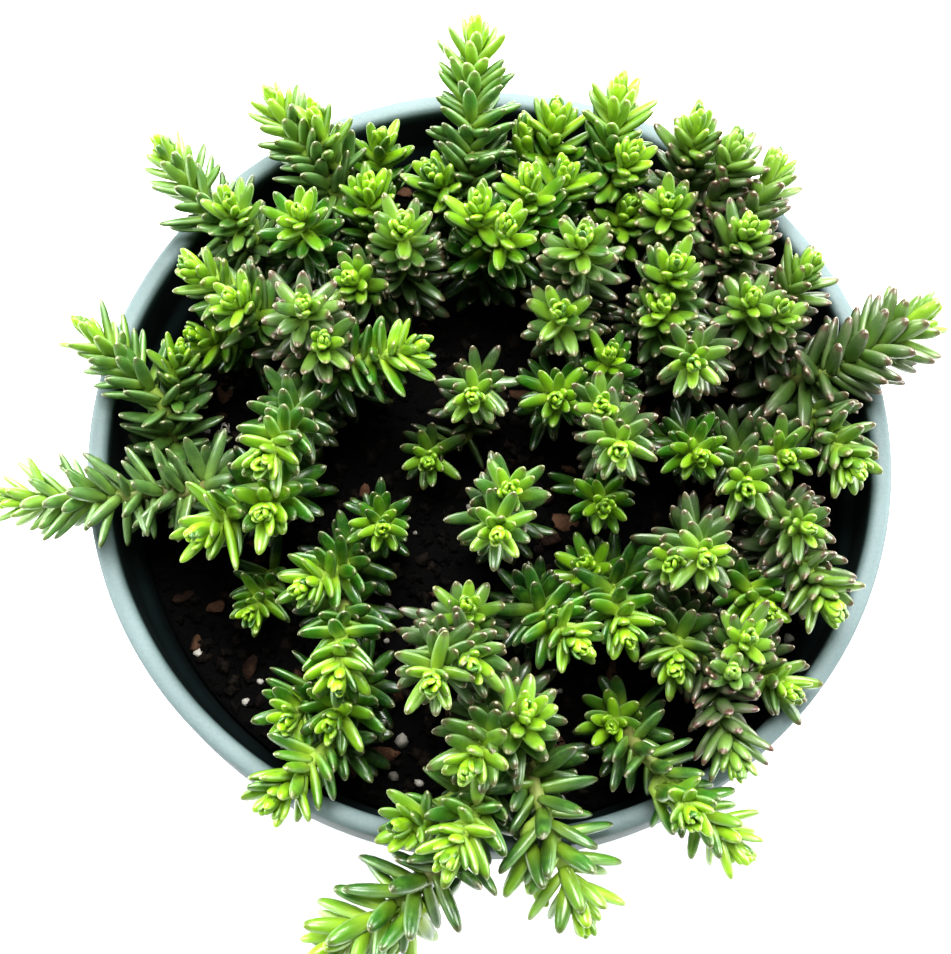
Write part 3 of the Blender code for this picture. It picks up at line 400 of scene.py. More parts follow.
def seen_at(column, row, height):
    """The point this high over the rim's plane that the view shows at a column and row."""
    rise, run = math.sin(VIEW_ELEVATION), math.cos(VIEW_ELEVATION)
    ahead = np.array([0.0, run, -rise])
    above = np.array([0.0, rise, run])
    eye = np.array([*VIEW_AIM, 0.0]) - ahead * VIEW_DISTANCE
    right = np.array([1.0, 0.0, 0.0])
    aside = (column - VIEW_MIDDLE[0]) / VIEW_FOCAL
    ray = ahead + right * aside + above * (VIEW_MIDDLE[1] - row) / VIEW_FOCAL
    point = eye + ray * (height - eye[2]) / ray[2]
    return point + UP * RIM_HEIGHT


def wall_inside(height):
    """The pot's inner radius at a height over its base."""
    wall_top = RIM_HEIGHT - SKIRT_HEIGHT
    tapered = BASE_RADIUS - WALL + (RIM_RADIUS - SKIRT_STEP - BASE_RADIUS) * height / wall_top
    lip = RIM_RADIUS - RIM_LIP
    return min(tapered, lip) if height < wall_top else lip - SKIRT_DRAFT * (RIM_HEIGHT - height)


def ground(x, y):
    """The soil's height at a place, without its lumps."""
    share = (x * x + y * y) / wall_inside(RIM_HEIGHT - SOIL_DEPTH) ** 2
    return RIM_HEIGHT - SOIL_DEPTH + SOIL_MOUND * (1 - share)


def in_the_way(point, radius):
    """Whether a ball there would touch the pot or the soil."""
    x, y, z = point
    across = math.hypot(x, y)
    room = radius + GAP
    if across < wall_inside(min(max(z, 0.0), RIM_HEIGHT)) - room:
        return z < ground(x, y) + SOIL_LUMP + room
    return across < RIM_RADIUS + room and z < RIM_HEIGHT + room


def bezier(a, b, c, d, count=24):
    """Points along a cubic curve."""
    t = np.linspace(0, 1, count)[:, None]
    return a * (1 - t) ** 3 + 3 * b * t * (1 - t) ** 2 + 3 * c * t * t * (1 - t) + d * t**3


class Path:
    """A curve read by the distance along it."""

    def __init__(self, points):
        self.points = np.array(points)
        steps = np.linalg.norm(np.diff(self.points, axis=0), axis=1)
        self.distances = np.concatenate([[0.0], np.cumsum(steps)])
        self.length = self.distances[-1]

    def at(self, distance):
        return np.array([np.interp(distance, self.distances, self.points[:, i]) for i in range(3)])

    def heading(self, distance):
        """The curve's direction at a distance along it."""
        ahead, behind = min(distance + HEADING_REACH, self.length), max(distance - HEADING_REACH, 0.0)
        return unit(self.at(ahead) - self.at(behind))


def segment_gaps(start, end, starts, ends):
    """The distance from one segment to each of many."""
    own, other = end - start, ends - starts
    between = start - starts
    a = max(own @ own, 1e-9)
    e = np.maximum((other * other).sum(axis=1), 1e-9)
    b, c, f = other @ own, between @ own, (other * between).sum(axis=1)
    s = np.clip((b * f - c * e) / np.maximum(a * e - b * b, 1e-9), 0, 1)
    t = np.clip((b * s + f) / e, 0, 1)
    s = np.clip((b * t - c) / a, 0, 1)
    return np.linalg.norm(between + own * s[:, None] - other * t[:, None], axis=1)


class Room:
    """The segments already taken up, each with its radius, its shoot and its branch."""

    def __init__(self):
        self.count = 0
        self.starts = np.zeros((ROOM_SIZE, 3))
        self.ends = np.zeros((ROOM_SIZE, 3))
        self.radii = np.zeros(ROOM_SIZE)
        self.shoots = np.zeros(ROOM_SIZE, int)
        self.branches = np.zeros(ROOM_SIZE, int)

    def take(self, points, radius, shoot, branch=0):
        for start, end in zip(points, points[1:]):
            at = self.count
            self.starts[at], self.ends[at], self.radii[at] = start, end, radius
            self.shoots[at], self.branches[at] = SHOOT_NAMES.index(shoot), branch
            self.count += 1

    def of_others(self, shoot):
        return self.shoots[:self.count] != SHOOT_NAMES.index(shoot)

    def of_other_branches(self, shoot, branch):
        same = self.shoots[:self.count] == SHOOT_NAMES.index(shoot)
        return same & (self.branches[:self.count] != branch)

    def gap(self, points, radius, chosen):
        """The least gap from a line of this radius to the chosen segments that are near it."""
        points = np.asarray(points)
        low, high = points.min(axis=0) - ROOM_MARGIN, points.max(axis=0) + ROOM_MARGIN
        starts, ends = self.starts[:self.count], self.ends[:self.count]
        near = (np.maximum(starts, ends) > low).all(axis=1) & (np.minimum(starts, ends) < high).all(axis=1)
        near &= chosen
        if not near.any():
            return math.inf
        starts, ends, radii = starts[near], ends[near], self.radii[:self.count][near]
        gaps = [segment_gaps(p, q, starts, ends) - radii - radius for p, q in zip(points, points[1:])]
        return float(np.min(gaps))


class Branch:
    """A stem from a root or a fork to its tip, with the rings that its surface runs through."""

    def __init__(self, path, crown, forks, across, root):
        self.path, self.crown, self.root = path, crown, root
        self.leafy = []
        self.distances = self.ring_distances(forks)
        self.frames = []
        for index, mark in enumerate(self.distances):
            heading = path.heading(mark)
            across = unit(across - heading * (across @ heading))
            if index and self.leafy[index - 1]:
                across = turned(across, heading, PAIR_TWIST)
            left = path.length - mark
            half = TIP_HALF + (STEM_HALF - TIP_HALF) * smooth(left / TIP_TAPER)
            self.frames.append((path.at(mark), heading, across, np.cross(heading, across), half))

    def ring_distances(self, forks):
        """Distances of the rings along the path. It fills leafy, which says which bands carry a pair."""
        pairs = [self.path.length - BUD_HEIGHT]
        spacing = FIRST_PAIR
        while self.path.length - pairs[-1] + spacing < self.crown + BUD_HEIGHT:
            pairs.append(pairs[-1] - spacing)
            spacing = min(spacing + PAIR_GROWTH, WIDEST_PAIR)
        pairs.reverse()
        low = ROOT_DEPTH + ROOT_RISE if self.root else FORK_LEAD
        plain = [0.0, low]
        bare = [fork for fork in forks if fork < pairs[0] - FORK_BAND]
        cuts = [fork + half for fork in bare for half in (-FORK_BAND / 2, FORK_BAND / 2)]
        stops = sorted([low, *cuts, max(pairs[0], low + FORK_BAND)])
        for begin, end in zip(stops, stops[1:]):
            count = max(1, round((end - begin) / RING_STEP))
            plain += [begin + (end - begin) * (i + 1) / count for i in range(count)]
        self.leafy = [False] * (len(plain) - 1) + [True] * (len(pairs) - 1)
        return plain + pairs[1:]


def crown_points(base, tip):
    """The leafy end of a shoot, which turns up a little towards the light."""
    length = np.linalg.norm(tip - base)
    lean = unit(tip - base)
    up_turn = unit(lean + UP * CROWN_UP_TURN)
    return bezier(base, base + lean * length / 3, tip - up_turn * length / 3, tip)


def rise_points(start, heading, base, tip, bend):
    """The bare stem from where it starts to its first leaves."""
    run = np.linalg.norm(base - start)
    lean = unit(tip - base)
    lead = start + heading * FORK_LEAD
    reach = run * RISE_REACH
    rise = bezier(lead, lead + heading * reach + bend, base - lean * reach + bend, base)
    return np.concatenate([[start], rise])


def bends():
    """Ways to bend a stem aside, the smallest first: level ones all round, then straight up."""
    for size in BENDS:
        for step in range(BEND_WAYS if size else 1):
            angle = 2 * math.pi * step / BEND_WAYS
            yield np.array([math.cos(angle), math.sin(angle), 0.0]) * size
        yield UP * size


def clear_route(start, heading, head, owner, room):
    """The route to a head that bends least among those that keep clear of the stems already there."""
    base, tip = seen_at(*head.base), seen_at(*head.tip)
    best, best_gap = None, -math.inf
    for bend in bends():
        rise = rise_points(start, heading, base, tip, bend)
        points = np.concatenate([rise, crown_points(base, tip)[1:]])
        gap = room.gap(points[2::3], 0.0, room.of_others(owner)) - STEM_CLEARANCE
        away = points[np.linalg.norm(points - start, axis=1) > FORK_CLEAR]
        gap = min(gap, room.gap(away[::3], 0.0, room.of_other_branches(owner, -1)) - STEM_CLEARANCE)
        gap -= BLOCKED_COST * sum(in_the_way(point, STEM_ROOM) for point in points[8:])
        if gap >= 0:
            return points
        if gap > best_gap:
            best, best_gap = points, gap
    return best


def spread_roots():
    """Each shoot's root on the soil, with those that stand too close moved apart."""
    level = SOIL_MOUND / 2 - SOIL_DEPTH
    roots = np.array([seen_at(*shoot.root, level)[:2] for shoot in SHOOTS.values()])
    for _ in range(ROOT_PASSES):
        for i in range(len(roots)):
            for j in range(i):
                between = roots[i] - roots[j]
                distance = max(np.linalg.norm(between), 0.01)
                if distance < ROOT_SPACING:
                    push = between / distance * (ROOT_SPACING - distance) / 2
                    roots[i] += push
                    roots[j] -= push
        away = np.linalg.norm(roots, axis=1)
        roots *= np.minimum(1.0, ROOT_LIMIT / away)[:, None]
    return dict(zip(SHOOTS, roots))


def fork_distance(path, side):
    """Where a side shoot leaves a stem: near its first leaves, but far enough back for it to curve."""
    base = seen_at(*side.base)
    marks = np.linspace(ROOT_DEPTH + FORK_ABOVE_SOIL, path.length - FORK_BELOW_TIP, FORK_MARKS)
    cost = []
    for mark in marks:
        way = base - path.at(mark)
        along = way @ path.heading(mark)
        cost.append(np.linalg.norm(way) + SHORT_DROP_COST * max(FORK_DROP - along, 0.0))
    return marks[int(np.argmin(cost))]


def leafy_length(head):
    """How much of a stem carries leaves. A tall shoot is leafy for longer, so that no bare stalk shows."""
    length = float(np.linalg.norm(seen_at(*head.tip) - seen_at(*head.base)))
    return length + TALL_SHARE * max(head.base[2] - TALL_FROM, 0.0)


def grow_stems():
    """Every shoot's branches: its own, then its side shoots with the band and face that they leave from."""
    room = Room()
    grown = {}
    for name, root in spread_roots().items():
        shoot = SHOOTS[name]
        deep = np.array([*root, ground(*root) - ROOT_DEPTH])
        surface = deep + UP * (ROOT_DEPTH + ROOT_RISE)
        route = clear_route(surface, UP, shoot.head, name, room)
        points = np.concatenate([[deep, (deep + surface) / 2], route])
        path = Path(points)
        forks = spaced([fork_distance(path, side) for side in shoot.sides])
        main = Branch(path, leafy_length(shoot.head), forks, np.array([1.0, 0.0, 0.0]), True)
        room.take(points[::4], 0.0, name)
        branches = [(main, None, None)]
        for side, fork in zip(shoot.sides, forks):
            band, face, start, normal, axis = fork_face(main, fork, side, [b[1:] for b in branches])
            route = clear_route(start, unit(normal + FORK_RISE * axis), side, name, room)
            branches.append((Branch(Path(route), leafy_length(side), [], -axis, False), band, face))
            room.take(route[::4], 0.0, name)
        grown[name] = branches
    return grown


def spaced(forks):
    """The forks, with two that fall on the same stretch of stem moved apart."""
    order = sorted(range(len(forks)), key=lambda i: forks[i])
    moved = list(forks)
    for lower, upper in zip(order, order[1:]):
        moved[lower] = min(moved[lower], moved[upper] - 2 * FORK_BAND)
    return moved


def leaf_faces(band):
    """The two opposite stem faces that carry leaves, which take turns from band to band."""
    return (0, 2) if band % 2 else (1, 3)


def fork_face(main, fork, side, used):
    """The band at a fork and the face of it that looks most towards the side shoot."""
    away = [abs((a + b) / 2 - fork) for a, b in zip(main.distances, main.distances[1:])]
    band = int(np.argmin(away))
    low, high = main.frames[band], main.frames[band + 1]
    middle = (low[0] + high[0]) / 2
    axis = unit(high[0] - low[0])
    wanted = seen_at(*side.base) - middle
    normals = [low[2], low[3], -low[2], -low[3]]
    taken = leaf_faces(band) if main.leafy[band] else ()
    free = [i for i in range(4) if (band, i) not in used and i not in taken]
    face = max(free, key=lambda i: normals[i] @ wanted)
    return band, face, middle + normals[face] * low[4], normals[face], axis


class Place(NamedTuple):
    """Where a leaf grows: its foot, its three directions and sizes, its form, its age and its shade of green."""

    foot: np.ndarray
    across: np.ndarray
    rising: np.ndarray
    upper: np.ndarray
    sizes: tuple
    form: int
    age: float
    tone: float

    def line(self, shares):
        """Points at these shares of the leaf's length."""
        return [self.foot + self.rising * self.sizes[1] * share for share in shares]


def leaf_place(branch, below, angle, tried, sizes, drawn):
    """A leaf this far below its stem's tip, turned round the stem by an angle and placed as tried."""
    at = branch.path.length - below
    heading = branch.path.heading(at)
    aside, further, share = tried
    spread = math.radians(max(sizes["spread"] + further, LEAST_SPREAD))
    level = unit(np.cross(heading, LEAF_START))
    out = turned(level, heading, angle)
    foot = branch.path.at(at) + out * stem_radius(below) * SUNK
    out = turned(out, heading, math.radians(aside + drawn["sideways"]))
    rising = unit(heading * math.cos(spread) + out * math.sin(spread) + UP * LIGHT_TURN)
    across = unit(np.cross(rising, heading))
    across = turned(across, rising, math.radians(drawn["roll"]))
    length, width, thickness = sizes["length"] * share, sizes["width"], sizes["thickness"]
    return Place(foot, across, rising, np.cross(across, rising), (width, length, thickness),
                 drawn["form"], sizes["age"], drawn["tone"])


def stem_radius(below):
    """A stem's radius this far below its tip."""
    return TIP_RADIUS + (STEM_RADIUS - TIP_RADIUS) * smooth(below / (2 * TIP_TAPER))


def leaf_sizes(below, vigour, pale, tufted, draw):
    """A leaf's age, spread and three sizes, from how far it is below the tip."""
    grown = YOUNGEST_LENGTH + (1 - YOUNGEST_LENGTH) * smooth(below / FULL_LENGTH_BELOW)
    stout = YOUNGEST_WIDTH + (1 - YOUNGEST_WIDTH) * smooth(below / FULL_WIDTH_BELOW)
    old = smooth((below - AGED_FROM) / AGED_OVER)
    spread = SPREAD_AT_TIP + SPREAD_OPENING * smooth(below / OPEN_BELOW) + SPREAD_OF_AGE * old
    spread += TUFT_SPREAD * tufted * smooth(below / OPEN_BELOW)
    spread += (SPREAD_DRAW + OLD_SPREAD_DRAW * old) * draw.normal()
    length = LEAF_LENGTH * grown * vigour * (1 + LENGTH_DRAW * draw.normal())
    length *= (1 + PALE_LENGTH * pale) * (1 + OLD_LENGTH * old)
    stout *= vigour * (1 + PALE_WIDTH * pale) * (1 + TUFT_WIDTH * tufted)
    return {
        "age": below / GROWN_BELOW * (1 + TUFT_AGE * tufted), "spread": spread, "length": length,
        "width": LEAF_WIDTH * stout, "thickness": LEAF_THICKNESS * stout,
    }


def forms_of(below):
    """The leaf forms that may grow this far below the tip."""
    if below < GROWN_BELOW * YOUNG_SHARE:
        return YOUNG_FORMS
    return CROWN_FORMS if below < GROWN_BELOW * CROWN_SHARE else OLD_FORMS


def clear_leaf(branch, below, angle, owner, room, vigour, draw):
    """The first of a leaf's places that touches nothing but its own stem, or None."""
    sizes = leaf_sizes(below, vigour, PALE.get(owner[0], 0.0), TUFTED.get(owner[0], 0.0), draw)
    drawn = {
        "sideways": SIDEWAYS_DRAW * draw.normal(), "roll": ROLL_DRAW * draw.normal(),
        "form": int(draw.choice(forms_of(below))), "tone": draw.normal(),
    }
    others, beside = room.of_others(owner[0]), room.of_other_branches(*owner)
    reach = LEAF_REACH * sizes["width"] / LEAF_WIDTH
    for tried in TRIES:
        place = leaf_place(branch, below, angle, tried, sizes, drawn)
        line = place.line(LEAF_TESTED)
        if any(in_the_way(point, reach) for point in line):
            continue
        if room.gap(line, reach, others) < LEAF_GAP or room.gap(line, reach, beside) < LEAF_GAP:
            continue
        return place
    return None


def crown_end(branch):
    """How far below its tip a branch's crown reaches."""
    return branch.crown + BUD_HEIGHT


def leaf_spacing(below, sparse, lower):
    """The way from one leaf to the next, this far below the tip."""
    if lower:
        return SPACING_BELOW * sparse
    wide = SPACING_IN_CROWN * (1 + (sparse - 1) * smooth((below - GROWN_BELOW / 2) / GROWN_BELOW))
    return SPACING_AT_TIP + (wide - SPACING_AT_TIP) * smooth(below / GROWN_BELOW)


def grow_leaves(grown):
    """The leaves' places by shoot: first every crown, then the sparser leaves below the crowns."""
    room = Room()
    for name, branches in grown.items():
        for number, (branch, _, _) in enumerate(branches):
            room.take([frame[0] for frame in branch.frames] + [branch.path.points[-1]], STEM_RADIUS, name, number)
    draw = np.random.default_rng(LEAF_SEED)
    places = {name: [] for name in grown}
    spirals = {}
    for lower in (False, True):
        for name, branches in grown.items():
            sparse = SPARSE.get(name, 1.0)
            for number, (branch, _, _) in enumerate(branches):
                below, angle = spirals.get((name, number), (FIRST_LEAF, draw.uniform(0, 2 * math.pi)))
                start = ROOT_DEPTH + LEAVES_FROM if branch.root else FORK_LEAD
                end = branch.path.length - start if lower else min(crown_end(branch), branch.path.length - start)
                vigour = VIGOUR.get(name, 1.0)
                while below < end:
                    gone = BARE_SHARE * smooth((below - BARE_FROM) / BARE_OVER)
                    if not lower or draw.uniform() > gone:
                        place = clear_leaf(branch, below, angle, (name, number), room, vigour, draw)
                        if place is not None:
                            places[name].append(place)
                            reach = LEAF_REACH * place.sizes[0] / LEAF_WIDTH
                            room.take(place.line(LEAF_TAKEN), reach, name, number)
                    below += leaf_spacing(below, sparse, lower)
                    angle += GOLDEN_ANGLE
                spirals[name, number] = below, angle
    return places


class Term:
    """A number that changes over a surface, which can be used in Python sums."""

    def __init__(self, tree, socket):
        self.tree, self.socket = tree, socket

    def __add__(self, other):
        return self.tree.maths("ADD", self, other)

    def __sub__(self, other):
        return self.tree.maths("SUBTRACT", self, other)

    def __rsub__(self, other):
        return self.tree.maths("SUBTRACT", other, self)

    def __mul__(self, other):
        return self.tree.maths("MULTIPLY", self, other)

    __radd__ = __add__
    __rmul__ = __mul__

    def rising(self, low, high):
        """0 up to low, 1 from high on, and smooth between them."""
        settings = {"interpolation_type": "SMOOTHSTEP"}
        made = self.tree.node("ShaderNodeMapRange", settings, {"Value": self, "From Min": low, "From Max": high})
        return Term(self.tree, made.outputs["Result"])


class Tree:
    """A node tree that is written one call a node."""

    def __init__(self, tree):
        self.tree = tree

    def node(self, kind, settings=None, sockets=None):
        """Adds a node of a kind, with its settings first and then the values or links of its sockets."""
        made = self.tree.nodes.new(kind)
        for name, value in (settings or {}).items():
            setattr(made, name, value)
        for name, value in (sockets or {}).items():
            self.feed(made.inputs[name], value)
        return made

    def feed(self, socket, value):
        """Links a socket to a node's output, or sets its own value."""
        source = value.socket if isinstance(value, Term) else value
        if isinstance(source, bpy.types.NodeSocket):
            self.tree.links.new(source, socket)
        elif socket.type == "RGBA":
            socket.default_value = (*source, 1.0)
        else:
            socket.default_value = source

    def maths(self, operation, one, other):
        """What a Math node makes of two numbers."""
        made = self.node("ShaderNodeMath", {"operation": operation}, {0: one, 1: other})
        return Term(self, made.outputs[0])


class Finish(Tree):
    """A material with one Principled shader."""

    def __init__(self, name):
        self.material = bpy.data.materials.new(name)
        self.material.use_nodes = True
        super().__init__(self.material.node_tree)
        self.shader = self.tree.nodes["Principled BSDF"]
        self.place = self.node("ShaderNodeTexCoord").outputs["Object"]

    def read(self, name):
        """A value that the mesh carries at its points."""
        return Term(self, self.node("ShaderNodeAttribute", {"attribute_name": name}).outputs["Fac"])

    def grain(self, size, detail=3.0, roughness=0.55):
        """Noise from 0 to 1 whose lumps are this many millimetres across."""
        sockets = {"Vector": self.place, "Scale": 1 / (size * MM), "Detail": detail, "Roughness": roughness}
        return Term(self, self.node("ShaderNodeTexNoise", None, sockets).outputs["Fac"])

    def coordinates(self):
        """The place on the object along X, Y and Z, in millimetres."""
        parts = self.node("ShaderNodeSeparateXYZ", None, {0: self.place}).outputs
        return [Term(self, part) * (1 / MM) for part in parts]

    def mix(self, share, one, other):
        """A colour between two colours."""
        sockets = {0: share, 6: one, 7: other}
        return Term(self, self.node("ShaderNodeMix", {"data_type": "RGBA"}, sockets).outputs[2])

    def bump(self, height, depth, strength):
        """Feeds the shader's normal with a height from 0 to 1 that stands for a depth in millimetres."""
        sockets = {"Height": height, "Distance": depth * MM, "Strength": strength}
        self.set(Normal=Term(self, self.node("ShaderNodeBump", None, sockets).outputs["Normal"]))

    def set(self, **values):
        """Sets the shader's sockets, named with _ for a space."""
        for name, value in values.items():
            self.feed(self.shader.inputs[name.replace("_", " ")], value)
        return self.material


def leaf_skin():
    """Waxy leaf skin: lighter and yellower when young and at its foot (partly painted glow), darker below (partly
    painted shade), with paler edges (partly painted sheen) and a pale blunt tip.
    """
    skin = Finish("sedum_leaf_skin")
    along, age, tone = skin.read("along"), skin.read("age"), skin.read("tone")
    bronze, pale, side = skin.read("bronze"), skin.read("pale"), skin.read("side")
    patches, specks = skin.grain(1.6), skin.grain(0.16, 1.0)
    green = skin.mix(age.rising(0.3, 1.35), YOUNG_GREEN, GROWN_GREEN)
    # Painted shade: leaves far below the tip turn near black, as if shaded by the crowns above, on top of their own
    # darkening with age.
    green = skin.mix(age.rising(1.15, 2.2), green, OLD_SHADED_GREEN)
    green = skin.mix((tone * 0.5 + 0.5).rising(0.2, 1.6), green, DEEP_GREEN)
    green = skin.mix(patches.rising(0.42, 0.75) * 0.35, green, PATCH_GREEN)
    # Paler, yellower foot: partly its young tissue, partly painted glow of light shining through the leaf.
    young_foot_glow = (1 - along.rising(0.05, 0.70)) * (0.9 - age.rising(1.0, 2.2) * 0.6)
    green = skin.mix(young_foot_glow, green, FOOT_GLOW_GREEN)
    green = skin.mix(pale * age.rising(0.1, 0.9) * (0.35 + patches * 0.4), green, PALE_GREEN)
    # Paler edges: partly waxy bloom, partly painted sheen where light catches the leaves' sides.
    rim = side.rising(0.76, 1.0) * (0.45 + pale * 0.35) * (1 - age.rising(1.3, 2.3) * 0.6)
    green = skin.mix(rim, green, EDGE_BLOOM_SHEEN_GREEN)
    dull = bronze * (bronze * 0.5 + age.rising(0.1, 0.8) * 0.33)
    green = skin.mix(dull, green, DULL_GREEN)
    tinge = bronze * age.rising(0.35, 1.2)
    green = skin.mix(tinge * 0.5, green, BRONZE_GREEN)
    dark = tinge * (along.rising(0.35, 0.95) * 0.65 + side.rising(0.7, 1.0) * 0.35 + patches.rising(0.45, 0.7) * 0.3)
    green = skin.mix(dark * 0.8, green, BRONZE_PURPLE)
    near_tip = along.rising(0.84, 0.94) * (1 - along.rising(0.972, 0.99)) * age.rising(0.25, 0.7)
    green = skin.mix(near_tip * (0.4 + bronze * 0.6), green, TIP_BROWN)
    green = skin.mix(along.rising(0.972, 0.995) * age.rising(0.1, 0.4) * 0.75, green, TIP_NUB)
    green = skin.mix(specks.rising(0.55, 0.75) * 0.14, green, SPECK_GREEN)
    skin.bump(specks + patches * 0.6, 0.05, 0.5)
    return skin.set(
        Base_Color=green, Roughness=0.28 + specks * 0.20, Coat_Weight=0.6, Coat_Roughness=0.24)


def stem_skin():
    """Pale green stem skin, which turns brown low down."""
    skin = Finish("sedum_stem_skin")
    age, streaks, specks = skin.read("age"), skin.grain(1.1), skin.grain(0.22, 1.0)
    tint = skin.mix(age.rising(0.8, 2.4), STEM_GREEN, STEM_OLIVE)
    tint = skin.mix(age.rising(2.4, 4.5), tint, STEM_BROWN)
    tint = skin.mix(streaks.rising(0.5, 0.8) * 0.35, tint, STEM_STREAK)
    skin.bump(streaks + specks * 0.5, 0.09, 0.6)
    return skin.set(Base_Color=tint, Roughness=0.42 + specks * 0.2)


def soil_finish(name, dark, light, lit, depth):
    """Crumbly matter between two colours: the mesh's tone picks between them, and lit says how much is light."""
    soil = Finish(name)
    lumps, specks = soil.grain(1.4, 4.0), soil.grain(0.3, 2.0)
    share = soil.read("tone") * 0.6 + lumps * 0.5
    tint = soil.mix(share.rising(*lit), dark, light)
    tint = soil.mix(specks.rising(0.62, 0.8) * 0.3, tint, light)
    soil.bump(lumps + specks * 0.6, depth, 0.9)
    return soil.set(Base_Color=tint, Roughness=0.75 + specks * 0.25, Specular_IOR_Level=0.25)


def pot_finish():
    """Moulded grey-blue plastic, with painted light on the top of its lip and painted shade on its inner wall."""
    pot = Finish("pot_plastic_skin")
    x, y, height = pot.coordinates()
    across = pot.maths("SQRT", x * x + y * y, 0.0)
    wall_top = RIM_HEIGHT - SKIRT_HEIGHT
    slope = (RIM_RADIUS - SKIRT_STEP - BASE_RADIUS) / wall_top
    wall_middle = height * slope + (BASE_RADIUS - WALL / 2)
    in_wall = (wall_middle - across).rising(-0.1, 0.1)
    in_skirt = (RIM_RADIUS - RIM_LIP / 2 - across).rising(0.0, 0.6) * height.rising(wall_top - 1, wall_top)
    inside = pot.maths("MAXIMUM", in_wall, in_skirt) * (1 - height.rising(RIM_HEIGHT - 3.0, RIM_HEIGHT - 0.6))
    clouds, specks = pot.grain(9.0), pot.grain(0.5, 2.0)
    tint = pot.mix(clouds.rising(0.35, 0.7) * 0.3, POT_TEAL, POT_CLOUD)
    # Painted light: the top of the lip is made paler, as if lit from above, unevenly by the specks.
    edge = height.rising(RIM_HEIGHT - 1.6, RIM_HEIGHT - 0.1)
    tint = pot.mix(edge * (0.55 + specks * 0.3), tint, POT_LIT_LIP)
    foot = (1 - height.rising(0.2, 5.0)) * clouds.rising(0.4, 0.65) * 0.4
    tint = pot.mix(foot, tint, FOOT_DIRT)
    # Painted shade: the inner wall is made near black, as if in shade, with a slight cloudiness.
    inside_shade = inside * (0.90 + clouds.rising(0.3, 0.7) * 0.1)
    tint = pot.mix(inside_shade, tint, INSIDE_SHADE)
    pot.bump(specks * 0.6 + clouds, 0.06, 0.5)
    return pot.set(Specular_IOR_Level=0.3, Base_Color=tint, Roughness=0.46 + specks * 0.14 + inside * 0.3)


def studio_finish():
    """Matt white paint, which glows a little where the floor curves up into the wall."""
    paint = Finish("studio_paint")
    _, _, height = paint.coordinates()
    glow = paint.mix(height.rising(0.0, COVE_ROUND / MM), FLOOR_GLOW, COVE_GLOW)
    paint.material.cycles.emission_sampling = "NONE"
    return paint.set(Base_Color=FLOOR_WHITE, Roughness=0.6 + paint.grain(6.0) * 0.05, Emission_Color=glow,
                     Emission_Strength=1.0)


def mesh_piece(name, vertices, faces=(), edges=(), values=None):
    """An object of a mesh in millimetres, with values that it carries at its points."""
    data = bpy.data.meshes.new(name)
    data.from_pydata([tuple(np.array(v) * MM) for v in vertices], edges, faces)
    for key, (kind, column) in (values or {}).items():
        attribute = data.attributes.new(key, kind, "POINT")
        field = "vector" if kind == "FLOAT_VECTOR" else "value"
        attribute.data.foreach_set(field, np.array(column).ravel())
    made = bpy.data.objects.new(name, data)
    bpy.context.scene.collection.objects.link(made)
    return made


def smooth_faces(mesh):
    """Shades every face of a mesh smooth."""
    mesh.polygons.foreach_set("use_smooth", [True] * len(mesh.polygons))


def form_collection(name, makers):
    """A collection of small forms, in the order in which places name them."""
    forms = bpy.data.collections.new(name)
    for number, maker in enumerate(makers):
        vertices, faces, values = maker
        made = mesh_piece(f"{name}_{number:02d}", [np.array(v) / MM for v in vertices], faces, (), values)
        smooth_faces(made.data)
        bpy.context.scene.collection.objects.unlink(made)
        forms.objects.link(made)
    return forms


def leaf_form(curl, bow):
    """A leaf of unit length, width and thickness from its foot along +Y, with its upper side towards +Z."""
    vertices, faces, along, side = [], [], [], []
    middle, last = np.zeros(3), 0.0
    for share, wide, thick in LEAF_OUTLINE + ((1.0, 0.0, 0.0),):
        lean, aside = math.radians(curl) * (share - CURL_MIDDLE), math.radians(bow) * (share - CURL_MIDDLE)
        way = np.array([math.sin(aside), math.cos(lean), -math.sin(lean)])
        middle = middle + way * (share - last)
        last = share
        if wide == 0:
            vertices.append(middle)
            along.append(1.0)
            side.append(0.0)
            break
        for k in range(LEAF_SIDES):
            angle = 2 * math.pi * k / LEAF_SIDES
            up = math.sin(angle) * (FLAT_ABOVE if math.sin(angle) > 0 else 1.0)
            vertices.append(middle + np.array([math.cos(angle) * wide / 2, 0.0, up * thick / 2]))
            along.append(share)
            side.append(abs(math.cos(angle)))
    rings = len(LEAF_OUTLINE)
    for ring in range(rings - 1):
        for k in range(LEAF_SIDES):
            a, b = ring * LEAF_SIDES + k, ring * LEAF_SIDES + (k + 1) % LEAF_SIDES
            faces.append((a, a + LEAF_SIDES, b + LEAF_SIDES, b))
    point = rings * LEAF_SIDES
    for k in range(LEAF_SIDES):
        a, b = (rings - 1) * LEAF_SIDES + k, (rings - 1) * LEAF_SIDES + (k + 1) % LEAF_SIDES
        faces.append((a, point, b))
    faces.append(tuple(range(LEAF_SIDES)))
    return vertices, faces, {"along": ("FLOAT", along), "side": ("FLOAT", side)}


def lump_form(seed, sizes, rounds, sectors, roughness):
    """A small lump of about unit size, dented by noise."""
    mesh = bmesh.new()
    bmesh.ops.create_uvsphere(mesh, u_segments=sectors, v_segments=rounds, radius=0.5)
    for vertex in mesh.verts:
        dent = noise.noise(vertex.co * 2.3 + Vector((seed * 3.1, 0.0, seed)))
        vertex.co *= 1 + roughness * dent * 2
        vertex.co = Vector(tuple(a * b for a, b in zip(vertex.co, sizes)))
    vertices = [np.array(vertex.co) for vertex in mesh.verts]
    faces = [tuple(vertex.index for vertex in face.verts) for face in mesh.faces]
    mesh.free()
    return vertices, faces, None


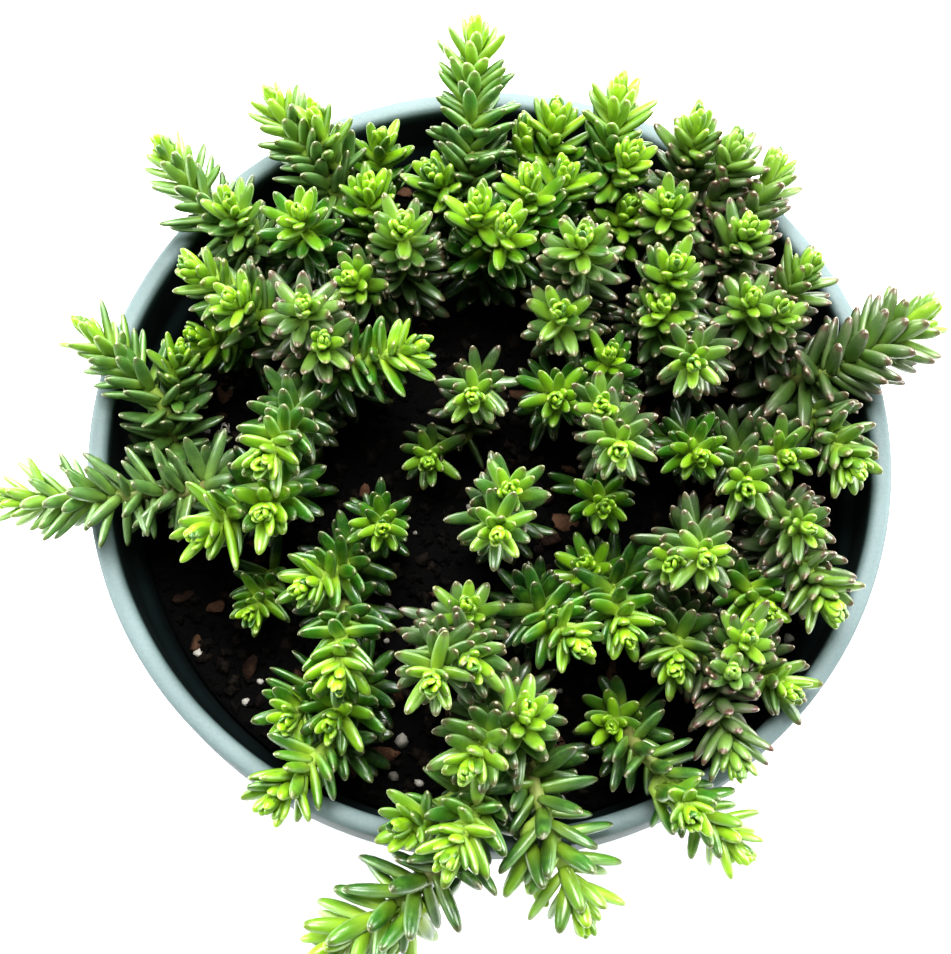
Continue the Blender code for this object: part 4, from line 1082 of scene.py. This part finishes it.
def group(name, inputs):
    """A Geometry Nodes tree with named inputs, and its input and output nodes."""
    tree = Tree(bpy.data.node_groups.new(name, "GeometryNodeTree"))
    face = tree.tree.interface
    face.new_socket("Geometry", in_out="INPUT", socket_type="NodeSocketGeometry")
    for key, kind in inputs.items():
        face.new_socket(key, in_out="INPUT", socket_type="NodeSocket" + kind)
    face.new_socket("Geometry", in_out="OUTPUT", socket_type="NodeSocketGeometry")
    return tree, tree.node("NodeGroupInput").outputs, tree.node("NodeGroupOutput").inputs


def named(tree, name, kind="FLOAT"):
    """The output of a node that reads a named value of the geometry."""
    made = tree.node("GeometryNodeInputNamedAttribute", {"data_type": kind}, {"Name": name})
    return made.outputs["Attribute"]


def forms_in(tree, wanted):
    """Each form of a collection as an instance of its own."""
    return tree.node("GeometryNodeCollectionInfo", None, {
        "Collection": wanted, "Separate Children": True, "Reset Children": True}).outputs[0]


def made_real(tree, geometry, finish):
    """The placed forms as real mesh with a material on it."""
    real = tree.node("GeometryNodeRealizeInstances", None, {"Geometry": geometry})
    return tree.node("GeometryNodeSetMaterial", None, {"Geometry": real.outputs[0], "Material": finish}).outputs[0]


def forms_on_places(tree, points, wanted, unit_size):
    """Adds the nodes that set a form on each place, turned and sized as the place says."""
    size = tree.node("ShaderNodeVectorMath", {"operation": "MULTIPLY"}, {
        0: named(tree, "size", "FLOAT_VECTOR"), 1: unit_size})
    turn = tree.node("FunctionNodeEulerToRotation", None, {0: named(tree, "turn", "FLOAT_VECTOR")})
    placed = tree.node("GeometryNodeInstanceOnPoints", None, {
        "Points": points, "Selection": named(tree, "placed", "BOOLEAN"), "Instance": forms_in(tree, wanted),
        "Pick Instance": True, "Instance Index": named(tree, "form", "INT"), "Rotation": turn.outputs[0],
        "Scale": size.outputs[0]})
    return placed.outputs[0]


def loose_things():
    """Loose things on their places, such as bark chips on the soil."""
    tree, given, result = group("loose things", {"Forms": "Collection", "Size": "Vector", "Finish": "Material"})
    placed = forms_on_places(tree, given["Geometry"], given["Forms"], given["Size"])
    tree.feed(result["Geometry"], made_real(tree, placed, given["Finish"]))
    return tree.tree


def leafy_shoot():
    """A whole shoot: leaf forms on its places, and closed round stems along its lines."""
    tree, given, result = group("leafy shoot", {
        "Leaf forms": "Collection", "Leaf size": "Vector", "Leaf skin": "Material",
        "Stem thickness": "Float", "Stem sides": "Int", "Stem skin": "Material"})
    leaves = forms_on_places(tree, given["Geometry"], given["Leaf forms"], given["Leaf size"])
    curve = tree.node("GeometryNodeMeshToCurve", None, {"Mesh": given["Geometry"]})
    thick = tree.node("GeometryNodeSetCurveRadius", None, {
        "Curve": curve.outputs[0], "Radius": named(tree, "radius")})
    circle = tree.node("GeometryNodeCurvePrimitiveCircle", None, {
        "Resolution": given["Stem sides"], "Radius": given["Stem thickness"]})
    tube = tree.node("GeometryNodeCurveToMesh", None, {
        "Curve": thick.outputs[0], "Profile Curve": circle.outputs["Curve"], "Fill Caps": True})
    soft = tree.node("GeometryNodeSetShadeSmooth", None, {"Geometry": tube.outputs[0]})
    both = tree.node("GeometryNodeJoinGeometry")
    for part in (soft.outputs[0], leaves):
        tree.feed(both.inputs[0], part)
    stems = made_real(tree, both.outputs[0], given["Stem skin"])
    tinted = tree.node("GeometryNodeSetMaterial", None, {
        "Geometry": stems, "Selection": named(tree, "placed", "BOOLEAN"), "Material": given["Leaf skin"]})
    tree.feed(result["Geometry"], tinted.outputs[0])
    return tree.tree


def strewn_crumbs():
    """Strews crumbs of random size and turn over the faces of a surface."""
    tree, given, result = group("strewn crumbs", {
        "Crumbs": "Collection", "Density": "Float", "Smallest": "Float", "Largest": "Float", "Seed": "Int",
        "Finish": "Material"})
    spread = tree.node("GeometryNodeDistributePointsOnFaces", None, {
        "Mesh": given["Geometry"], "Selection": named(tree, "open", "BOOLEAN"), "Density": given["Density"],
        "Seed": given["Seed"]})
    turn = tree.node("FunctionNodeRandomValue", {"data_type": "FLOAT_VECTOR"}, {
        0: (0.0, 0.0, 0.0), 1: (2 * math.pi, 2 * math.pi, 2 * math.pi), "Seed": given["Seed"]})
    size = tree.node("FunctionNodeRandomValue", {"data_type": "FLOAT"}, {
        2: given["Smallest"], 3: given["Largest"], "Seed": given["Seed"]})
    turned_by = tree.node("FunctionNodeEulerToRotation", None, {0: turn.outputs[0]})
    placed = tree.node("GeometryNodeInstanceOnPoints", None, {
        "Points": spread.outputs["Points"], "Instance": forms_in(tree, given["Crumbs"]), "Pick Instance": True,
        "Rotation": turned_by.outputs[0], "Scale": size.outputs[1]})
    tone = tree.node("FunctionNodeRandomValue", {"data_type": "FLOAT"}, {"Seed": given["Seed"]})
    toned = tree.node("GeometryNodeStoreNamedAttribute", {"domain": "INSTANCE"}, {
        "Geometry": placed.outputs[0], "Name": "tone", "Value": tone.outputs[1]})
    tree.feed(result["Geometry"], made_real(tree, toned.outputs[0], given["Finish"]))
    return tree.tree


def grow(piece, tree, values):
    """Puts a tree on a piece, with the tree's inputs set by name."""
    modifier = piece.modifiers.new("growth", "NODES")
    modifier.node_group = tree
    sockets = {item.name: item.identifier for item in tree.interface.items_tree if item.in_out == "INPUT"}
    for name, value in values.items():
        modifier[sockets[name]] = value


def settle(pieces):
    """Turns each piece into the plain mesh that its modifiers make."""
    bpy.context.view_layer.update()
    graph = bpy.context.evaluated_depsgraph_get()
    meshes = [bpy.data.meshes.new_from_object(piece.evaluated_get(graph)) for piece in pieces]
    for piece, mesh in zip(pieces, meshes):
        piece.modifiers.clear()
        piece.data = mesh
        mesh.name = piece.name


def part_of(piece, slot, *nodes):
    """A finished piece of the plant or pot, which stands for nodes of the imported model."""
    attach(piece, "root")
    if nodes:
        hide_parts(*nodes)


def euler_of(across, along, upper):
    """The turn that brings X, Y and Z to three directions."""
    return tuple(Matrix((across, along, upper)).transposed().to_euler("XYZ"))


def stem_line(branch):
    """Points along a branch, their radii and their ages."""
    length = branch.path.length
    count = max(4, round(length / STEM_POINTS_EVERY))
    points, radii, ages = [], [], []
    for at in np.linspace(0.0, length, count):
        below = length - at
        knob = 1 + STEM_KNOBS * math.sin(at * KNOB_WAVES[0]) * math.sin(at * KNOB_WAVES[1])
        points.append(branch.path.at(at))
        radii.append(stem_radius(below) * knob)
        ages.append(below / STEM_AGE_OVER)
    radii[-1] *= 0.5
    return points, radii, ages


def shoot_skeleton(name, branches, places):
    """A shoot's leaf places and stem lines, in one mesh of loose points and edges."""
    points = [place.foot for place in places]
    edges, radii, ages = [], [0.0] * len(places), [place.age for place in places]
    for branch, _, _ in branches:
        line, thick, old = stem_line(branch)
        edges += [(len(points) + i, len(points) + i + 1) for i in range(len(line) - 1)]
        points += line
        radii += thick
        ages += old
    stems = len(points) - len(places)
    turns = [euler_of(place.across, place.rising, place.upper) for place in places]
    sizes = [(p.sizes[0] / LEAF_WIDTH, p.sizes[1] / LEAF_LENGTH, p.sizes[2] / LEAF_THICKNESS) for p in places]
    blank = [(0.0, 0.0, 0.0)] * stems
    bronze, pale = BRONZE.get(name, 0.0), PALE.get(name, 0.0)
    values = {
        "turn": ("FLOAT_VECTOR", turns + blank), "size": ("FLOAT_VECTOR", sizes + blank),
        "form": ("INT", [place.form for place in places] + [0] * stems),
        "placed": ("BOOLEAN", [True] * len(places) + [False] * stems),
        "radius": ("FLOAT", radii), "age": ("FLOAT", ages),
        "tone": ("FLOAT", [place.tone for place in places] + [0.0] * stems),
        "bronze": ("FLOAT", [bronze] * len(points)), "pale": ("FLOAT", [pale] * len(points)),
    }
    return mesh_piece("sedum_" + name, points, (), edges, values)


def make_plant():
    """Every shoot, each in place of its own node."""
    grown = grow_stems()
    places = grow_leaves(grown)
    leaf_forms = form_collection("leaf_form", [leaf_form(curl, bow) for curl, bow in LEAF_FORMS])
    tree = leafy_shoot()
    values = {
        "Leaf forms": leaf_forms, "Leaf skin": leaf_skin(), "Stem skin": stem_skin(),
        "Leaf size": (LEAF_WIDTH * MM, LEAF_LENGTH * MM, LEAF_THICKNESS * MM),
        "Stem thickness": MM, "Stem sides": STEM_SIDES}
    pieces = []
    for name, branches in grown.items():
        piece = shoot_skeleton(name, branches, places[name])
        grow(piece, tree, values)
        pieces.append(piece)
    settle(pieces)
    for name, piece in zip(grown, pieces):
        part_of(piece, "sedum_leaf", "shoot_" + name)


def soil_height(x, y):
    """The soil's height at a place, with its clods and crumbs."""
    edge = wall_inside(RIM_HEIGHT - SOIL_DEPTH) - GAP
    flat = smooth((edge - math.hypot(x, y)) / SMOOTH_EDGE)
    clods = noise.noise(Vector((x, y, 0.0)) / CLOD_SIZE) * CLOD_HEIGHT
    crumbs = noise.noise(Vector((x, y, 9.0)) / CRUMB_SIZE) * CRUMB_HEIGHT
    return ground(x, y) + (clods + crumbs) * flat


def around(count, ahead=0.0):
    """The cosine and sine of every one of so many equal steps round the axis."""
    angles = [2 * math.pi * (step + ahead) / count for step in range(count)]
    return [(math.cos(angle), math.sin(angle)) for angle in angles]


def lathed_faces(rings, sectors):
    """Faces of a fan round the first point, and between the rings of points that follow it."""
    faces = []
    for k in range(sectors):
        after = (k + 1) % sectors
        faces.append((0, 1 + k, 1 + after))
        for ring in range(rings - 1):
            a, b = 1 + ring * sectors + k, 1 + ring * sectors + after
            faces.append((a, a + sectors, b + sectors, b))
    return faces


def soil_shape():
    """The soil's body: its points, its faces and the values at its points."""
    edge = wall_inside(RIM_HEIGHT - SOIL_DEPTH) - GAP
    vertices = [(0.0, 0.0, soil_height(0.0, 0.0))]
    for ring in range(1, SOIL_ROUNDS + 1):
        away = edge * ring / SOIL_ROUNDS
        vertices += [(away * x, away * y, soil_height(away * x, away * y)) for x, y in around(SOIL_SECTORS)]
    floor, radius = FLOOR + GAP, wall_inside(FLOOR + GAP) - GAP
    vertices += [(radius * x, radius * y, floor) for x, y in around(SOIL_SECTORS)]
    faces = lathed_faces(SOIL_ROUNDS + 1, SOIL_SECTORS)
    faces.append(tuple(1 + SOIL_ROUNDS * SOIL_SECTORS + k for k in reversed(range(SOIL_SECTORS))))
    top = 1 + (SOIL_ROUNDS - 1) * SOIL_SECTORS
    values = {
        "open": ("BOOLEAN", [i < top for i in range(len(vertices))]),
        "tone": ("FLOAT", [SOIL_TONE] * len(vertices)),
    }
    return vertices, faces, (), values


def make_soil():
    """The soil's body with an uneven top, the crumbs on it, and bark chips and grit between them."""
    shape = soil_shape()
    soil = mesh_piece("potting_soil", *shape)
    smooth_faces(soil.data)
    # The earth is near black, its own dark colour deepened by painted shade.
    earth = soil_finish("potting_mix", *EARTH_AND_SHADE, (0.55, 1.1), 0.5)
    soil.data.materials.append(earth)
    part_of(soil, "soil_mix", "soil")
    crumbs = mesh_piece("soil_crumbs", *shape)
    crumb_forms = form_collection("crumb_form", [
        lump_form(n, (1.0, 0.6 + 0.12 * n, 0.55), 5, 8, 0.6) for n in range(LOOSE_FORMS)])
    grow(crumbs, strewn_crumbs(), {
        "Crumbs": crumb_forms, "Density": CRUMBS_PER_MM2 / MM**2, "Smallest": CRUMB_SMALLEST * MM,
        "Largest": CRUMB_LARGEST * MM, "Seed": SOIL_SEED, "Finish": earth})
    chip_forms = form_collection("chip_form", [
        lump_form(20 + n, (1.0, 0.42 + 0.06 * n, 0.24), 6, 9, 0.3) for n in range(LOOSE_FORMS)])
    grit_forms = form_collection("grit_form", [
        lump_form(40 + n, (1.0, 0.85, 0.75), 6, 8, 0.25) for n in range(LOOSE_FORMS)])
    bark, stone = soil_finish("bark", *BARK, (0.25, 1.1), 0.4), soil_finish("grit", *STONE, (0.15, 1.0), 0.15)
    draw = np.random.default_rng(SOIL_SEED)
    tree = loose_things()
    pieces = [crumbs]
    for name, seen, count, lengths, forms, finish in (
            ("bark_chips", SEEN_CHIPS, CHIP_COUNT, CHIP_LENGTHS, chip_forms, bark),
            ("grit_grains", SEEN_GRIT, GRIT_COUNT, GRIT_LENGTHS, grit_forms, stone)):
        pieces.append(strewn(name, seen, count, lengths, draw))
        grow(pieces[-1], tree, {"Forms": forms, "Size": (MM, MM, MM), "Finish": finish})
    settle(pieces)
    for piece in pieces:
        part_of(piece, "soil_mix")


def strewn(name, seen, count, lengths, draw):
    """Places for loose things on the soil: those that the view shows, and more at random."""
    edge = wall_inside(RIM_HEIGHT - SOIL_DEPTH) - SMOOTH_EDGE
    spots = [(*seen_at(column, row, SOIL_MOUND / 2 - SOIL_DEPTH)[:2], length) for column, row, length in seen]
    for _ in range(count):
        away, angle = edge * math.sqrt(draw.uniform()), draw.uniform(0, 2 * math.pi)
        spots.append((away * math.cos(angle), away * math.sin(angle), draw.uniform(*lengths)))
    points, turns, sizes, forms, tones = [], [], [], [], []
    for x, y, length in spots:
        away = math.hypot(x, y)
        if away > edge:
            x, y = x * edge / away, y * edge / away
        points.append((x, y, soil_height(x, y) + LYING_OVER))
        turns.append((draw.normal() * LYING_TURN, draw.normal() * LYING_TURN, draw.uniform(0, 2 * math.pi)))
        sizes.append((length, length, length))
        forms.append(int(draw.integers(LOOSE_FORMS)))
        tones.append(draw.uniform(0.2, 1.2))
    values = {
        "turn": ("FLOAT_VECTOR", turns), "size": ("FLOAT_VECTOR", sizes), "form": ("INT", forms),
        "placed": ("BOOLEAN", [True] * len(points)), "tone": ("FLOAT", tones)}
    return mesh_piece(name, points, (), (), values)


def rounded(corners):
    """A profile through corners, each given with its radius and turned into an arc."""
    points = []
    for i, (x, z, radius) in enumerate(corners):
        corner = np.array([x, z])
        if radius == 0 or i in (0, len(corners) - 1):
            points.append((x, z))
            continue
        before, after = np.array(corners[i - 1][:2]) - corner, np.array(corners[i + 1][:2]) - corner
        start = corner + unit(before) * min(radius, np.linalg.norm(before) * CORNER_REACH)
        end = corner + unit(after) * min(radius, np.linalg.norm(after) * CORNER_REACH)
        for t in np.linspace(0, 1, CORNER_STEPS):
            points.append(tuple(start * (1 - t) ** 2 + corner * 2 * t * (1 - t) + end * t * t))
    return points


def object_of(name, mesh):
    """An object of an edited mesh, which is then freed."""
    data = bpy.data.meshes.new(name)
    mesh.to_mesh(data)
    mesh.free()
    made = bpy.data.objects.new(name, data)
    bpy.context.scene.collection.objects.link(made)
    return made


def make_pot():
    """The pot, turned from its profile, with drain holes through its floor."""
    wall_top = RIM_HEIGHT - SKIRT_HEIGHT
    lip = RIM_RADIUS - RIM_LIP
    step = wall_inside(wall_top - 0.01)
    profile = rounded((
        (0, BASE_RECESS, 0), (BASE_RADIUS - FOOT_WIDTH - 0.5, BASE_RECESS, 0.5),
        (BASE_RADIUS - FOOT_WIDTH, 0, 0.4), (BASE_RADIUS, 0, FOOT_ROUND),
        (RIM_RADIUS - SKIRT_STEP, wall_top + 0.4, 0.6), (RIM_RADIUS - 0.5, wall_top, EDGE_ROUND),
        (RIM_RADIUS, RIM_HEIGHT, EDGE_ROUND), (lip, RIM_HEIGHT, EDGE_ROUND),
        (wall_inside(wall_top + 0.01), wall_top + 1.2, 0.8), (step, wall_top - 0.8, 0.8),
        (wall_inside(FLOOR), FLOOR, 1.0), (0, FLOOR, 0),
    ))
    mesh = bmesh.new()
    rings = []
    for radius, height in profile:
        if radius == 0:
            rings.append([mesh.verts.new((0, 0, height * MM))] * POT_SECTORS)
        else:
            rings.append([mesh.verts.new((radius * x * MM, radius * y * MM, height * MM))
                          for x, y in around(POT_SECTORS)])
    for low, high in zip(rings, rings[1:]):
        for k in range(POT_SECTORS):
            corners = [low[k], low[(k + 1) % POT_SECTORS], high[(k + 1) % POT_SECTORS], high[k]]
            mesh.faces.new([v for n, v in enumerate(corners) if v is not corners[n - 1]])
    pot = object_of("nursery_pot", mesh)
    holes = bmesh.new()
    for x, y in around(DRAIN_HOLES, 0.5):
        made = bmesh.ops.create_cone(
            holes, cap_ends=True, segments=HOLE_SIDES, radius1=DRAIN_RADIUS * MM, radius2=DRAIN_RADIUS * MM,
            depth=4 * FLOOR * MM)
        middle = (DRAIN_CIRCLE * x * MM, DRAIN_CIRCLE * y * MM, FLOOR / 2 * MM)
        bmesh.ops.translate(holes, verts=made["verts"], vec=middle)
    cutter = object_of("drain_cutter", holes)
    drilled = pot.modifiers.new("drain_holes", "BOOLEAN")
    drilled.operation = "DIFFERENCE"
    drilled.object = cutter
    settle([pot])
    bpy.data.objects.remove(cutter)
    smooth_faces(pot.data)
    pot.data.set_sharp_from_angle(angle=HOLE_EDGE_ANGLE)
    pot.data.materials.append(pot_finish())
    part_of(pot, "pot_plastic", "pot")


def make_floor():
    """A plain pale floor, which curves up into a wall."""
    outline = [(FLOOR_REACH * share, 0.0) for share in (0.2, 0.5, 0.8)]
    for angle in np.linspace(0, math.pi / 2, COVE_STEPS):
        outline.append((FLOOR_REACH + COVE_ROUND * math.sin(angle), COVE_ROUND * (1 - math.cos(angle))))
    outline.append((FLOOR_REACH + COVE_ROUND, COVE_HEIGHT))
    vertices = [(0.0, 0.0, 0.0)]
    for radius, height in outline:
        vertices += [(radius * x / MM, radius * y / MM, height / MM) for x, y in around(COVE_SECTORS)]
    floor = mesh_piece("floor", vertices, lathed_faces(len(outline), COVE_SECTORS))
    smooth_faces(floor.data)
    floor.data.materials.append(studio_finish())


def make_lights():
    """A faint white sky and soft lamps that shine on the middle of the rim."""
    world = bpy.data.worlds.new("studio")
    world.use_nodes = True
    sky = world.node_tree.nodes["Background"].inputs
    sky["Color"].default_value = (1, 1, 1, 1)
    sky["Strength"].default_value = SKY_STRENGTH
    bpy.context.scene.world = world
    middle = Vector((0, 0, RIM_HEIGHT * MM))
    for name, place, (width, height), power in LIGHTS:
        lamp = bpy.data.lights.new(name, "AREA")
        lamp.shape, lamp.size, lamp.size_y, lamp.energy = "RECTANGLE", width, height, power
        made = bpy.data.objects.new(name, lamp)
        made.location = place
        made.rotation_euler = (middle - Vector(place)).to_track_quat("-Z", "Y").to_euler()
        bpy.context.scene.collection.objects.link(made)


def make_camera():
    """The camera, where it stood for the photograph."""
    camera = bpy.data.cameras.new("camera")
    camera.sensor_fit, camera.sensor_height = "VERTICAL", LENS_SENSOR
    camera.lens = VIEW_FOCAL * LENS_SENSOR / IMAGE_HEIGHT
    made = bpy.data.objects.new("camera", camera)
    run, rise = VIEW_DISTANCE * math.cos(VIEW_ELEVATION), VIEW_DISTANCE * math.sin(VIEW_ELEVATION)
    made.location = (VIEW_AIM[0] * MM, (VIEW_AIM[1] - run) * MM, (RIM_HEIGHT + rise) * MM)
    made.rotation_euler = (math.pi / 2 - VIEW_ELEVATION, 0, 0)
    scene = bpy.context.scene
    scene.collection.objects.link(made)
    scene.camera = made
    scene.view_settings.view_transform, scene.view_settings.look = "Standard", "High Contrast"


make_floor()
make_lights()
make_camera()
make_pot()
make_soil()
make_plant()
